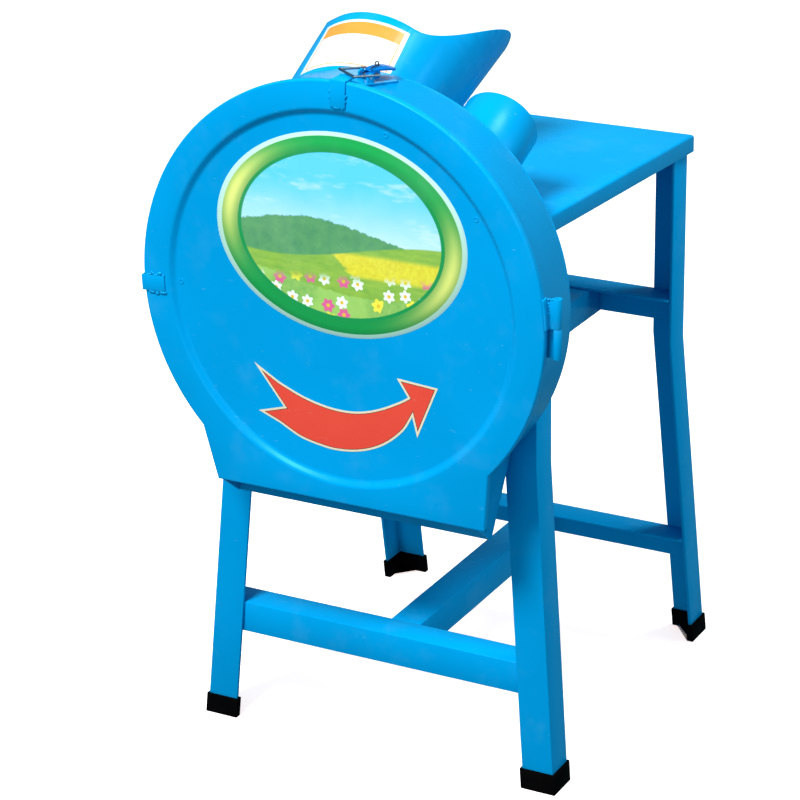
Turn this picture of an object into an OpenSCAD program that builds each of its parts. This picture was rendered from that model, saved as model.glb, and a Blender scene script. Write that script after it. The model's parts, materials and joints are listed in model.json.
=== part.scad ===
// Grass shredder: a steel drum on an angle iron stand, with two feed tubes and a motor behind.
// X is to the right seen from the front, Y runs from the front to the back, Z is up.
// The origin is on the floor under the middle of the machine.

/* [Stand] */
// Height of the table top above the floor
table_z = 700; // [680:5:760]
// Thickness of the table sheet
table_t = 2; // [1.5:0.5:4]
// Height of the folded table lips
lip_h = 22; // [15:1:35]
// Half width of the table at its front edge
table_front_w = 209; // [205:1:240]
// Half width of the table at its rear edge
table_rear_w = 229; // [226:1:260]
// Flange width of the angle iron
angle_w = 40; // [35:1:45]
// Thickness of the leg angle iron
leg_t = 4; // [3:0.5:6]
// Thickness of the crossbar angle iron
bar_t = 3; // [2:0.5:4]
// Sideways reach of the front feet
front_foot_x = 239.8; // [225:1:270]
// Sideways reach of the rear feet
rear_foot_x = 228; // [224:1:260]
// Forward reach of the front feet, from the middle
front_foot_y = 210; // [200:1:240]
// Backward reach of the rear feet, from the middle
rear_foot_y = 279.5; // [240:1:281]
// Height of the bend in the front legs
front_bend_z = 400; // [300:5:440]
// Height of the bend in the rear legs
rear_bend_z = 442; // [300:5:450]
// Height of the lower crossbars
low_bar_z = 157; // [100:1:250]
// Height of the rubber feet
boot_h = 26; // [15:1:40]
// Wall of the rubber feet
boot_wall = 2.5; // [2:0.5:4]

/* [Drum] */
// Outer radius of the drum band
drum_r = 249; // [245:1:252]
// Thickness of the drum sheet
sheet_t = 3; // [2:0.5:4]
// Depth of the drum from the back plate to the cover
drum_d = 84; // [80:1:96]
// Height of the lower edge of the cover
spout_z = 355.5; // [345:0.5:375]
// Drop of the discharge chute below the cover
chute_drop = 25; // [15:1:35]
// Depth of the chute edge behind the front of the cover
chute_lip_d = 34; // [28:1:45]

/* [Cover] */
// Reach of the cover beyond the drum band
cover_reach = 9; // [8:0.5:13]
// Thickness of the cover sheet
cover_t = 2; // [1.5:0.5:3]
// Depth of the rolled edge
hem_d = 8; // [6:0.5:10]
// Depth of the recessed middle
recess_d = 6; // [3:0.5:7]
// Width of the flat rim around the recessed middle
rim_w = 32; // [28:1:58]
// Width of the sloping step around the middle
step_w = 12; // [6:1:20]

/* [Feed tubes] */
// Outer radius of the big tube at the drum
big_r = 85.5; // [75:0.5:86]
// Length of the big tube along its top
big_short = 147; // [130:1:160]
// Length of the big tube along its scoop
big_long = 285; // [240:1:300]
// Rise of both tubes above level, in degrees
tube_rise = 24.9; // [20:0.1:27]
// Widening of the big tube to each side, in degrees
big_flare = 2.7; // [0:0.1:3]
// Outer radius of the small tube
small_r = 45; // [35:0.5:48]
// Length of the small tube
small_len = 88; // [70:1:130]
// Wall of the tubes
tube_t = 2; // [1.5:0.5:3]

/* [Motor] */
// Height of the shaft above the motor feet
shaft_h = 100; // [100:1:102]
// Outer radius of the motor shell
shell_r = 82; // [76:0.5:84]
// Length of the motor shell
shell_len = 160; // [150:1:170]
// Sideways distance between the foot holes
foot_a = 160; // [150:1:166]
// Lengthwise distance between the foot holes
foot_b = 140; // [110:1:142]
// Diameter of the drive shaft in the drum
shaft_dia = 28; // [24:1:29]

/* [Rotor] */
// Gap between the throwing vanes and the drum band
vane_gap = 13; // [11:1:49]
// Reach of the cutting blades
blade_r = 180; // [150:1:182]
// Radius of the blade disc
disc_r = 75; // [65:1:90]

/* [Latches] */
// Width of the latch base
latch_w = 24; // [20:1:28]
// Diameter of the latch wire
wire_dia = 3; // [2.5:0.5:3.5]
// Turn of the top latch towards the right, in degrees
top_latch_skew = 27; // [15:1:30]

/* [Hidden] */
$fn = 64;

// Reach, rear cut and cut's depth of the throwing vanes
vane_r = drum_r - vane_gap;
vane_cut = 40;
vane_cut_depth = 22;

// Size of the blocks that trim the feed tubes at the back plate
beyond = 400;
big_fn = 240;

steel_blue = "deepskyblue";
bare_steel = "silver";
zinc = "gainsboro";
rubber_black = "#222222";

eps = 0.01;
seat_gap = 0.2;
run_gap = 0.5;
pin_play = 0.05;

// Stand
plate_y = -190;
front_leg_y = plate_y;
rear_leg_y = 198.5;
front_leg_x = 207;
rear_leg_x = 223.5;
table_rear_y = 205;
table_front_y = plate_y + 1;
leg_top_z = table_z - table_t;
leg_bottom_z = 3;

// Shaft line, from the rails up
mid_bar_z = table_z - 200;
rail_z = mid_bar_z - bar_t;
rail_in = 63;
rail_w = 50;
packing_t = 3;
axis_z = rail_z + packing_t + shaft_h;

// Drum
cover_r = drum_r + cover_reach;
recess_r = cover_r - rim_w;
cut_reach = drum_r + 51;
cut_over = 50;
plate_front_y = plate_y - sheet_t;
cover_y = plate_front_y - drum_d;
spout_left = 163;
spout_right = 175;
chute_t = 2;
chute_top_z = spout_z + 62;
chute_low_z = spout_z - chute_drop;
chute_low_y = cover_y + chute_lip_d;
cover_gap = 0.3;
hem_gap = 0.8;
flange_t = 2;
flange_y = cover_y + cover_t + cover_gap;

// Feed tubes
big_x = -49;
big_rise = 144;
small_x = 125;
small_rise = 146;

// Motor, measured back from the plate
shell_y = plate_y + 80;
shell_t = 3;
shell_end_y = shell_y + shell_len;
foot_y = shell_y + 72;
bearing_r = 31;
bearing_bore_r = 15;
bearing_w = 16;
rear_bearing_r = 26;
rear_bearing_bore_r = 12.5;
rear_bearing_w = 15;
front_boss_y = plate_y + 12;
bearing_y = front_boss_y + 4;
rear_bearing_y = shell_end_y - rear_bearing_w;
stator_y = shell_y + 38;
stator_len = 90;
stator_in_r = 45;
air_gap = 0.6;
cowl_len = 32;

// Rotor, measured forward from the plate
knife_t = 4;
blade_back_y = plate_front_y - knife_t - 1.5;
blade_t = 4;
disc_back_y = blade_back_y - blade_t;
disc_t = 6;
disc_front_y = disc_back_y - disc_t;
hub_r = 30;
hub_front_y = cover_y + 22;
vane_t = 4;
vane_front_y = cover_y + 16;
shaft_end_y = hub_front_y + 2;
shaft_r = shaft_dia / 2;

// Hinge of the cover
hinge_x = cover_r + 9.5;
hinge_y = cover_y + 13.5;
hinge_r = 5;
hinge_pin_r = 3;
hinge_low_z = axis_z - 27;
hinge_mid_z = axis_z + 8.5;
hinge_top_z = axis_z + 43;
leaf_t = 2;

// Latches: a runs forward, n outward from the drum band, s across
latch_base_t = 2;
latch_rear_a = -16;
latch_front_a = 34;
latch_pivot_a = 20;
latch_pivot_n = 9;
lever_pin_r = 2;
bail_pivot_da = -8;
bail_pivot_dn = 3;
lever_len = 38;
lever_t = 2;
lever_w = 15;
bail_half_w = 14.5;
bail_reach = 34;
latch_y = cover_y + 40;
catch_w = 19;
catch_t = 2;
catch_lip_n = 12.2;
top_latch_turn = 2;
left_latch_drop = 11;

function smooth(t) = t <= 0 ? 0 : t >= 1 ? 1 : t * t * (3 - 2 * t);

// Angle iron legs and their feet: an L section carried through stations of place and growth
function angle_section(x, y, sx, sy, grow) = [
  [x + sx * grow, y + sy * grow],
  [x + sx * grow, y - sy * (angle_w + grow)],
  [x - sx * (leg_t + grow), y - sy * (angle_w + grow)],
  [x - sx * (leg_t + grow), y - sy * (leg_t + grow)],
  [x - sx * (angle_w + grow), y - sy * (leg_t + grow)],
  [x - sx * (angle_w + grow), y + sy * grow]
];

module angle_sweep(stations, sx, sy) {
  sides = 6;
  count = len(stations);
  section_points = [
    for (p = stations)
      for (q = angle_section(p[0], p[1], sx, sy, p[3])) [q[0], q[1], p[2]]
  ];
  walls = [
    for (k = [0 : count - 2])
      for (i = [0 : sides - 1])
        [k * sides + i, k * sides + (i + 1) % sides,
         (k + 1) * sides + (i + 1) % sides, (k + 1) * sides + i]
  ];
  bottom = [for (i = [0 : sides - 1]) sides - 1 - i];
  top = [for (i = [0 : sides - 1]) (count - 1) * sides + i];
  flat_faces = concat(walls, [bottom], [top]);
  turned = [for (f = flat_faces) [for (i = [len(f) - 1 : -1 : 0]) f[i]]];
  polyhedron(section_points, sx * sy < 0 ? turned : flat_faces);
}

// Outer corner of a leg at a height below its bend
function leg_corner(foot, bend, z) =
  [for (i = [0 : 1]) foot[i] + (bend[i] - foot[i]) * z / bend[2]];

front_foot = [front_foot_x, -front_foot_y, 0];
front_bend = [front_leg_x, front_leg_y, front_bend_z];
rear_foot = [rear_foot_x, rear_foot_y, 0];
rear_bend = [rear_leg_x, rear_leg_y, rear_bend_z];

function leg_station(foot, bend, side, z, grow) =
  let (c = leg_corner(foot, bend, z)) [side * c[0], c[1], z, grow];

module leg(foot, bend, side, sy) {
  angle_sweep([leg_station(foot, bend, side, leg_bottom_z, 0),
               leg_station(foot, bend, side, bend[2], 0),
               [side * bend[0], bend[1], leg_top_z, 0]], side, sy);
}

// Rubber cup: up its outside, over the rim and down to the floor of its pocket
module boot(foot, bend, side, sy) {
  angle_sweep([leg_station(foot, bend, side, 0, boot_wall),
               leg_station(foot, bend, side, boot_h, boot_wall),
               leg_station(foot, bend, side, boot_h, 0),
               leg_station(foot, bend, side, leg_bottom_z, 0)], side, sy);
}

// Front leg, drilled for the bolts of the drum's back plate
module front_leg(side) {
  color(steel_blue) difference() {
    leg(front_foot, front_bend, side, -1);
    for (z = plate_bolt_z) translate([side * plate_bolt_x, front_leg_y + leg_t + 1, axis_z + z])
      rotate([90, 0, 0]) cylinder(r = plate_bolt_r, h = leg_t + 2);
  }
}

module front_left_leg() { front_leg(-1); }
module front_right_leg() { front_leg(1); }
module rear_left_leg() { color(steel_blue) leg(rear_foot, rear_bend, -1, 1); }
module rear_right_leg() { color(steel_blue) leg(rear_foot, rear_bend, 1, 1); }

module front_feet() {
  color(rubber_black) for (side = [-1, 1]) boot(front_foot, front_bend, side, -1);
}

module rear_feet() {
  color(rubber_black) for (side = [-1, 1]) boot(rear_foot, rear_bend, side, 1);
}

// Angle iron along X: sy is -1 where the upright flange is at the front
module cross_angle(half_len, y, top_z, sy) {
  translate([-half_len, sy < 0 ? y : y - angle_w, top_z - bar_t])
    cube([2 * half_len, angle_w, bar_t]);
  translate([-half_len, sy < 0 ? y : y - bar_t, top_z - angle_w])
    cube([2 * half_len, bar_t, angle_w - bar_t]);
}

front_low = leg_corner(front_foot, front_bend, low_bar_z);
rear_low = leg_corner(rear_foot, rear_bend, low_bar_z);
front_low_y = front_low[1] + leg_t + seat_gap;
rear_low_y = rear_low[1] - leg_t - seat_gap;

module lower_front_crossbar() {
  color(steel_blue) cross_angle(front_low[0] - leg_t - seat_gap, front_low_y, low_bar_z, -1);
}

module lower_rear_crossbar() {
  color(steel_blue) cross_angle(rear_low[0] - leg_t - seat_gap, rear_low_y, low_bar_z, 1);
}

module mid_front_crossbar() {
  color(steel_blue)
    cross_angle(front_leg_x - leg_t - seat_gap, front_leg_y + leg_t, mid_bar_z, -1);
}

module mid_rear_crossbar() {
  color(steel_blue)
    cross_angle(rear_leg_x - leg_t - seat_gap, rear_leg_y - leg_t, mid_bar_z, 1);
}

centre_rail_right = 37;

module lower_centre_rail() {
  front = front_low_y + angle_w;
  length = rear_low_y - angle_w - front;
  color(steel_blue) {
    translate([centre_rail_right - angle_w, front, low_bar_z - bar_t])
      cube([angle_w, length, bar_t]);
    translate([centre_rail_right - bar_t, front, low_bar_z - angle_w])
      cube([bar_t, length, angle_w - bar_t]);
  }
}

foot_hole_r = 6;
slot_half = 8;

// Rail under both mid crossbars, with two slots for the motor bolts
module motor_rail(side) {
  front = front_leg_y + leg_t + bar_t + seat_gap;
  length = rear_leg_y - leg_t - bar_t - seat_gap - front;
  color(steel_blue) scale([side, 1, 1]) difference() {
    union() {
      translate([rail_in, front, rail_z - bar_t]) cube([rail_w, length, bar_t]);
      translate([rail_in + rail_w - bar_t, front, rail_z - angle_w + bar_t])
        cube([bar_t, length, angle_w - 2 * bar_t]);
    }
    for (s = [-1, 1]) translate([foot_a / 2, foot_y + s * foot_b / 2, rail_z - 2 * bar_t]) {
      for (e = [-1, 1]) translate([0, e * slot_half, 0]) cylinder(r = foot_hole_r, h = 4 * bar_t);
      translate([-foot_hole_r, -slot_half, 0]) cube([2 * foot_hole_r, 2 * slot_half, 4 * bar_t]);
    }
  }
}

module left_motor_rail() { motor_rail(-1); }
module right_motor_rail() { motor_rail(1); }

// Outline of the table, drawn in by one amount on every side
module table_outline(d) {
  polygon([
    [-table_front_w + d, table_front_y + d], [table_front_w - d, table_front_y + d],
    [table_rear_w - d, table_rear_y - d], [-table_rear_w + d, table_rear_y - d]
  ]);
}

notch_gap = 7.5;
notch_r = big_r + notch_gap;
notch_y = table_front_y + 0.37 * notch_r;
small_notch_w = small_r * 1.5;
small_notch_d = small_r / 2;

module table_top() {
  color(steel_blue) difference() {
    union() {
      translate([0, 0, table_z - table_t]) linear_extrude(table_t) table_outline(0);
      translate([0, 0, table_z - lip_h]) linear_extrude(lip_h - table_t) difference() {
        table_outline(0);
        table_outline(table_t);
      }
    }
    translate([big_x, notch_y, table_z - lip_h - 1]) cylinder(r = notch_r, h = lip_h + 2);
    translate([big_x - notch_r, table_front_y - 1, table_z - lip_h - 1])
      cube([2 * notch_r, notch_y - table_front_y + 1, lip_h + 2]);
    translate([small_x - small_notch_w / 2, table_front_y - 1, table_z - lip_h - 1])
      cube([small_notch_w, small_notch_d, lip_h + 2]);
    // Front lip left out between the legs, where the drum stands
    translate([-front_leg_x, table_front_y - 1, table_z - lip_h - 1])
      cube([2 * front_leg_x, table_t + 1 + eps, lip_h - table_t + 1]);
  }
}

// Side view of the chute wall: depth along Y against height
module behind_chute(shift) {
  polygon([
    [chute_low_y + shift, chute_low_z], [plate_front_y + shift, chute_top_z],
    [plate_front_y + shift, chute_top_z + 2 * cut_reach],
    [plate_front_y + cut_reach, chute_top_z + 2 * cut_reach],
    [plate_front_y + cut_reach, chute_low_z - 2 * cut_over],
    [chute_low_y + shift, chute_low_z - 2 * cut_over]
  ]);
}

// Carries a side view, drawn as depth and height, across the machine from x0 to x1
module across(x0, x1) {
  translate([x0, 0, 0]) rotate([90, 0, 90]) linear_extrude(x1 - x0) children();
}

// Carries a front view, drawn as width and height, from y0 back to y1
module lengthwise(y0, y1) {
  translate([0, y1, 0]) rotate([90, 0, 0]) linear_extrude(y1 - y0) children();
}

module band_outline(d) {
  translate([0, axis_z]) circle(r = drum_r - d, $fn = big_fn);
  translate([-spout_left + d, chute_low_z - cut_over])
    square([spout_left + spout_right - 2 * d, axis_z - chute_low_z + cut_over]);
}

// Lower part of the cover, wider than the drum's side walls by these amounts
cover_flare_z = axis_z - 175;
flare_left = 24;
flare_right = 14;
lip_left = 5;
lip_right = 9;

module cover_outline(d) {
  difference() {
    translate([0, axis_z]) circle(r = cover_r - d, $fn = big_fn);
    translate([-cover_r, spout_z - cover_r]) square([2 * cover_r, cover_r]);
  }
  polygon([
    [-spout_left - flare_left + d, cover_flare_z], [-spout_left - lip_left + d, spout_z],
    [spout_right + lip_right - d, spout_z], [spout_right + flare_right - d, cover_flare_z],
    [0, axis_z]
  ]);
}

// Lower edge of the drum's side walls, from the cover down to the chute lip
module below_walls() {
  polygon([
    [cover_y - cut_over, spout_z], [cover_y + cover_t + cover_gap, spout_z],
    [chute_low_y, chute_low_z], [plate_front_y + cut_over, chute_low_z],
    [plate_front_y + cut_over, chute_low_z - 2 * cut_over],
    [cover_y - cut_over, chute_low_z - 2 * cut_over]
  ]);
}

module drum_band() {
  color(steel_blue) difference() {
    union() {
      lengthwise(flange_y + flange_t, plate_front_y) difference() {
        band_outline(0);
        band_outline(sheet_t);
      }
      lengthwise(flange_y, flange_y + flange_t) difference() {
        cover_outline(cover_t + hem_gap);
        band_outline(sheet_t);
      }
    }
    across(-cut_reach, cut_reach) below_walls();
    across(-cut_reach, cut_reach) behind_chute(0);
  }
}

module discharge_chute() {
  wide = spout_left + spout_right;
  color(steel_blue) across(-spout_left, -spout_left + wide) polygon([
    [chute_low_y, chute_low_z], [plate_front_y, chute_top_z],
    [plate_front_y + chute_t, chute_top_z], [chute_low_y + chute_t, chute_low_z]
  ]);
}

plate_bolt_x = 187;
plate_bolt_z = [80, -80];
plate_bolt_r = 4;
plate_bolt_head_h = 3.8;
plate_bolt_head_r = 7.5;
shaft_hole_r = 20;

module back_plate() {
  color(steel_blue) difference() {
    lengthwise(plate_front_y, plate_y) difference() {
      translate([0, axis_z]) circle(r = drum_r, $fn = big_fn);
      translate([-drum_r, chute_top_z - drum_r]) square([2 * drum_r, drum_r]);
      translate([0, axis_z]) circle(r = shaft_hole_r);
      for (s = [-1, 1], z = plate_bolt_z) translate([s * plate_bolt_x, axis_z + z])
        circle(r = plate_bolt_r);
      for (x = knife_bolt_x) translate([knife_x + x, knife_z + knife_h / 2])
        circle(r = knife_bolt_r);
    }
    big_tube_body(0);
    small_tube_body(0);
  }
}

// Bolt along Y with its head at the front and its nut at the back
module y_bolt(r, head_r, head_h, head_y, seat_y, nut_h) {
  rotate([90, 0, 0]) {
    translate([0, 0, -seat_y - nut_h - 2]) cylinder(r = r, h = seat_y + nut_h + 2 - head_y);
    translate([0, 0, -head_y]) cylinder(r = head_r, h = head_h);
    translate([0, 0, -seat_y - nut_h]) cylinder(r = head_r, h = nut_h, $fn = 6);
  }
}

module back_plate_bolts() {
  color(zinc) for (s = [-1, 1], z = plate_bolt_z)
    translate([s * plate_bolt_x, 0, axis_z + z])
      y_bolt(plate_bolt_r - pin_play, plate_bolt_head_r, plate_bolt_head_h,
             plate_front_y, front_leg_y + leg_t, 6);
}

// Solid body of each feed tube, less d all round, from below the plate to past its mouth
module tube_place(x, rise) {
  translate([x, plate_front_y, axis_z + rise]) rotate([tube_rise - 90, 0, 0]) children();
}

module big_tube_body(d) {
  back = 60;
  spread = tan(big_flare);
  tube_place(big_x, big_rise) translate([0, 0, -back])
    cylinder(r1 = big_r - back * spread - d, r2 = big_r + 320 * spread - d, h = back + 320);
}

module small_tube_body(d) {
  tube_place(small_x, small_rise) translate([0, 0, -40]) cylinder(r = small_r - d, h = small_len + 80);
}

scoop_start = sin(54);
// Length of the big tube at a height across its mouth, from 1 at the top to -1 at the scoop
function scoop_len(h) = big_short + (big_long - big_short) * smooth((54 - asin(h)) / 80);

module big_feed_tube() {
  steps = 24;
  reach = big_r * 1.4;
  mouth = [for (i = [0 : steps])
    let (h = scoop_start - i / steps * (scoop_start + sin(26)))
      [-h * (big_r + big_short * tan(big_flare)), scoop_len(h)]];
  color(steel_blue) difference() {
    intersection() {
      big_tube_body(0);
      tube_place(big_x, big_rise) rotate([90, 0, 90]) translate([0, 0, -reach])
        linear_extrude(2 * reach) polygon(concat(
          [[reach, -100], [-reach, -100], [-reach, big_short]], mouth, [[reach, big_long]]));
    }
    big_tube_body(tube_t);
    translate([-beyond, plate_front_y - beyond, axis_z - beyond / 2])
      cube([2 * beyond, beyond, 1.5 * beyond]);
  }
}

module small_feed_tube() {
  color(steel_blue) difference() {
    tube_place(small_x, small_rise) translate([0, 0, -40]) cylinder(r = small_r, h = small_len + 40);
    small_tube_body(tube_t);
    translate([-beyond, plate_front_y - beyond, axis_z - beyond / 2])
      cube([2 * beyond, beyond, 1.5 * beyond]);
  }
}

// Fixed knife under the big feed opening
knife_x = big_x - 30;
knife_w = 110;
knife_h = 16;
knife_z = axis_z + 34;
knife_bolt_x = [16, 94];
knife_bolt_r = 3;

module counter_knife() {
  color(bare_steel) difference() {
    translate([knife_x, plate_front_y - knife_t, knife_z]) cube([knife_w, knife_t, knife_h]);
    for (x = knife_bolt_x) translate([knife_x + x, plate_front_y + 1, knife_z + knife_h / 2])
      rotate([90, 0, 0]) {
        cylinder(r = knife_bolt_r, h = knife_t + 2);
        translate([0, 0, knife_t - 1.5]) cylinder(r1 = knife_bolt_r, r2 = 2 * knife_bolt_r, h = 3);
      }
  }
}

module counter_knife_bolts() {
  color(zinc) for (x = knife_bolt_x)
    translate([knife_x + x, plate_front_y + 1, knife_z + knife_h / 2]) rotate([90, 0, 0]) {
      translate([0, 0, -10]) cylinder(r = knife_bolt_r - pin_play, h = knife_t + 10);
      translate([0, 0, knife_t - 1.5 + pin_play])
        cylinder(r1 = knife_bolt_r - pin_play, r2 = 2 * knife_bolt_r - 1, h = 2.2);
      translate([0, 0, -sheet_t - 4]) cylinder(r = 5.5, h = 5, $fn = 6);
    }
}

// Hinge: the lower knuckle is on the drum, the upper one on the cover
module knuckle(z0, z1, bore) {
  translate([hinge_x, hinge_y, z0]) difference() {
    cylinder(r = hinge_r, h = z1 - z0);
    translate([0, 0, -1]) cylinder(r = bore, h = z1 - z0 + 2);
  }
}

module ring_part(r0, r1, y0, y1, z0, z1) {
  intersection() {
    lengthwise(y0, y1) translate([0, axis_z]) difference() {
      circle(r = r1, $fn = big_fn);
      circle(r = r0, $fn = big_fn);
    }
    translate([0, y0 - 1, z0]) cube([r1 + 1, y1 - y0 + 2, z1 - z0]);
  }
}

hinge_leaf_d = 24;

module drum_hinge_leaf() {
  color(steel_blue) {
    difference() {
      union() {
        knuckle(hinge_low_z, hinge_mid_z - run_gap, hinge_pin_r);
        translate([drum_r - 6, hinge_y, hinge_low_z])
          cube([hinge_x - drum_r + 6, leaf_t, hinge_mid_z - run_gap - hinge_low_z]);
        ring_part(drum_r, drum_r + leaf_t, hinge_y, hinge_y + hinge_leaf_d,
                  hinge_low_z, hinge_mid_z - run_gap);
      }
      translate([hinge_x, hinge_y, hinge_low_z - 1])
        cylinder(r = hinge_pin_r, h = hinge_mid_z - hinge_low_z + 1);
      lengthwise(hinge_y - 1, hinge_y + hinge_leaf_d + 1) translate([0, axis_z]) circle(r = drum_r, $fn = big_fn);
    }
  }
}

module hinge_pin() {
  color(zinc) translate([hinge_x, hinge_y, hinge_low_z + 1]) {
    cylinder(r = hinge_pin_r, h = hinge_mid_z - run_gap - hinge_low_z - 1);
    cylinder(r = hinge_pin_r - pin_play, h = hinge_top_z - hinge_low_z - 3);
  }
}

module cover_hinge_leaf() {
  color(steel_blue) difference() {
    union() {
      knuckle(hinge_mid_z, hinge_top_z, hinge_pin_r);
      translate([cover_r - 8, cover_y + hem_d + 0.5, hinge_mid_z])
        cube([hinge_x - cover_r + 8, leaf_t, hinge_top_z - hinge_mid_z]);
      ring_part(cover_r, cover_r + leaf_t, cover_y, cover_y + hem_d + 0.5 + leaf_t,
                hinge_mid_z, hinge_top_z);
    }
    translate([hinge_x, hinge_y, hinge_mid_z - 1])
      cylinder(r = hinge_pin_r, h = hinge_top_z - hinge_mid_z + 2);
    lengthwise(cover_y - 1, cover_y + 3 * hem_d) translate([0, axis_z])
      circle(r = cover_r, $fn = big_fn);
  }
}

// Front cover: rim, sloping step, recessed middle and a rolled edge
step_lap = 0.2;

module drum_cover() {
  recess_y = cover_y + recess_d;
  color(steel_blue) {
    difference() {
      union() {
        lengthwise(cover_y, cover_y + cover_t) cover_outline(0);
        lengthwise(cover_y + cover_t, cover_y + hem_d) difference() {
          cover_outline(0);
          cover_outline(cover_t);
          translate([-spout_left - 20, spout_z - 10])
            square([spout_left + spout_right + 40, 10 + cover_t]);
        }
      }
      translate([0, cover_y - 1, axis_z + 2]) rotate([-90, 0, 0])
        cylinder(r = recess_r - step_lap, h = hem_d, $fn = big_fn);
    }
    translate([0, cover_y, axis_z + 2]) rotate([-90, 0, 0]) rotate_extrude($fn = big_fn) polygon([
      [0, recess_d], [recess_r - step_w, recess_d], [recess_r - eps, eps], [recess_r, 0],
      [recess_r, cover_t], [recess_r - step_w, recess_d + cover_t], [0, recess_d + cover_t]
    ]);
  }
}

// Catch on the cover: a face plate, a flap back over the rim and a lip for the latch wire
catch_face_h = 29;
catch_flap_d = 22;

module catch_plate(turn) {
  flap_n = cover_r + catch_t;
  flap_back = cover_y + catch_flap_d;
  translate([0, 0, axis_z]) rotate([0, turn, 0]) difference() {
    union() {
      translate([-catch_w / 2, cover_y - catch_t, cover_r - catch_face_h])
        cube([catch_w, catch_t, flap_n - cover_r + catch_face_h]);
      translate([-catch_w / 2, cover_y - catch_t, cover_r - 1])
        cube([catch_w, flap_back - cover_y + catch_t, catch_t + 1]);
      translate([-catch_w / 2, flap_back - catch_t, flap_n - eps])
        cube([catch_w, catch_t, drum_r + catch_lip_n - flap_n + eps]);
    }
    lengthwise(cover_y, flap_back + 1) circle(r = cover_r, $fn = big_fn);
  }
}

module cover_catches() {
  color(steel_blue) {
    catch_plate(top_latch_turn);
    catch_plate(-90 - asin(left_latch_drop / drum_r));
  }
}

// Puts a latch on the band: turn is its place around the drum, skew its turn on the band
module latch_place(turn, skew) {
  lip_y = cover_y + catch_flap_d - catch_t;
  lip_a = latch_pivot_a + bail_pivot_da + bail_reach;
  translate([0, 0, axis_z])
    rotate([0, turn + asin(lip_a * sin(skew) / drum_r), 0])
      translate([0, lip_y + lip_a * cos(skew) - wire_dia, drum_r])
        rotate([0, 0, 180 - skew]) children();
}

module top_latch() { latch_place(top_latch_turn, top_latch_skew) children(); }
module left_latch() { latch_place(-90 - asin(left_latch_drop / drum_r), 0) children(); }

module cross_pin(r, half, a, n) {
  translate([-half, a, n]) rotate([0, 90, 0]) cylinder(r = r, h = 2 * half);
}

ear_x = lever_w / 2 + run_gap;
ear_t = 2;
ear_r = 4.5;

module latch_base() {
  color(zinc) difference() {
    union() {
      translate([-latch_w / 2, latch_rear_a, -1.5])
        cube([latch_w, latch_front_a - latch_rear_a, latch_base_t + 1.5]);
      for (s = [-1, 1]) translate([s > 0 ? ear_x : -ear_x - ear_t, latch_pivot_a, 0]) {
        translate([0, -ear_r, latch_base_t - eps]) cube([ear_t, 2 * ear_r, latch_pivot_n - latch_base_t]);
        translate([0, 0, latch_pivot_n]) rotate([0, 90, 0]) cylinder(r = ear_r, h = ear_t);
      }
    }
    cross_pin(lever_pin_r, latch_w, latch_pivot_a, latch_pivot_n);
  }
}

module top_latch_base() {
  color(zinc) difference() {
    top_latch() latch_base();
    lengthwise(cover_y, plate_y) translate([0, axis_z]) circle(r = drum_r, $fn = big_fn);
  }
}

module left_latch_base() {
  color(zinc) difference() {
    left_latch() latch_base();
    lengthwise(cover_y, plate_y) translate([0, axis_z]) circle(r = drum_r, $fn = big_fn);
  }
}

module latch_pins() {
  color(zinc) {
    top_latch() cross_pin(lever_pin_r, ear_x + ear_t + 0.5, latch_pivot_a, latch_pivot_n);
    left_latch() cross_pin(lever_pin_r, ear_x + ear_t + 0.5, latch_pivot_a, latch_pivot_n);
  }
}

bail_a = latch_pivot_a + bail_pivot_da;
bail_n = latch_pivot_n + bail_pivot_dn;
wire_r = wire_dia / 2;
cheek_t = 2;

// Lever: a rounded plate with two cheeks that hold the pivot and the wire
module latch_lever() {
  plate_n = latch_pivot_n + ear_r + 1;
  rear = latch_pivot_a - lever_len;
  color(steel_blue) difference() {
    union() {
      translate([-lever_w / 2, rear + lever_w / 2, plate_n])
        cube([lever_w, lever_len - lever_w / 2 - 2, lever_t]);
      translate([0, rear + lever_w / 2, plate_n]) cylinder(r = lever_w / 2, h = lever_t);
      for (s = [-1, 1])
        translate([s > 0 ? lever_w / 2 - cheek_t : -lever_w / 2, bail_a - 5, latch_pivot_n - 3])
          cube([cheek_t, latch_pivot_a - bail_a + 8, plate_n - latch_pivot_n + 3 + eps]);
    }
    cross_pin(lever_pin_r + pin_play, latch_w, latch_pivot_a, latch_pivot_n);
    cross_pin(wire_r + pin_play, latch_w, bail_a, bail_n);
  }
}

module top_latch_lever() { top_latch() latch_lever(); }
module left_latch_lever() { left_latch() latch_lever(); }

// Wire loop: two ends in the lever's cheeks, two long sides and a bar over the catch lip
module latch_bail() {
  rise = asin((catch_lip_n + 0.4 + wire_r - bail_n) / bail_reach);
  color(zinc) translate([0, bail_a, bail_n]) rotate([rise, 0, 0]) {
    for (s = [-1, 1]) {
      translate([s * bail_half_w, 0, 0]) sphere(r = wire_r);
      translate([s * bail_half_w, bail_reach, 0]) sphere(r = wire_r);
      translate([s * bail_half_w, 0, 0]) rotate([-90, 0, 0]) cylinder(r = wire_r, h = bail_reach);
      translate([s > 0 ? lever_w / 2 - cheek_t : -bail_half_w, 0, 0]) rotate([0, 90, 0])
        cylinder(r = wire_r, h = bail_half_w - lever_w / 2 + cheek_t);
    }
    translate([-bail_half_w, bail_reach, 0]) rotate([0, 90, 0])
      cylinder(r = wire_r, h = 2 * bail_half_w);
  }
}

module top_latch_bail() { top_latch() latch_bail(); }
module left_latch_bail() { left_latch() latch_bail(); }

// Cylinder along Y between two depths, on the shaft line
module shaft_part(r, y0, y1) {
  translate([0, y1, axis_z]) rotate([90, 0, 0]) cylinder(r = r, h = y1 - y0);
}

module tube_part(r_out, r_in, y0, y1) {
  difference() {
    shaft_part(r_out, y0, y1);
    shaft_part(r_in, y0 - 1, y1 + 1);
  }
}

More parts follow.
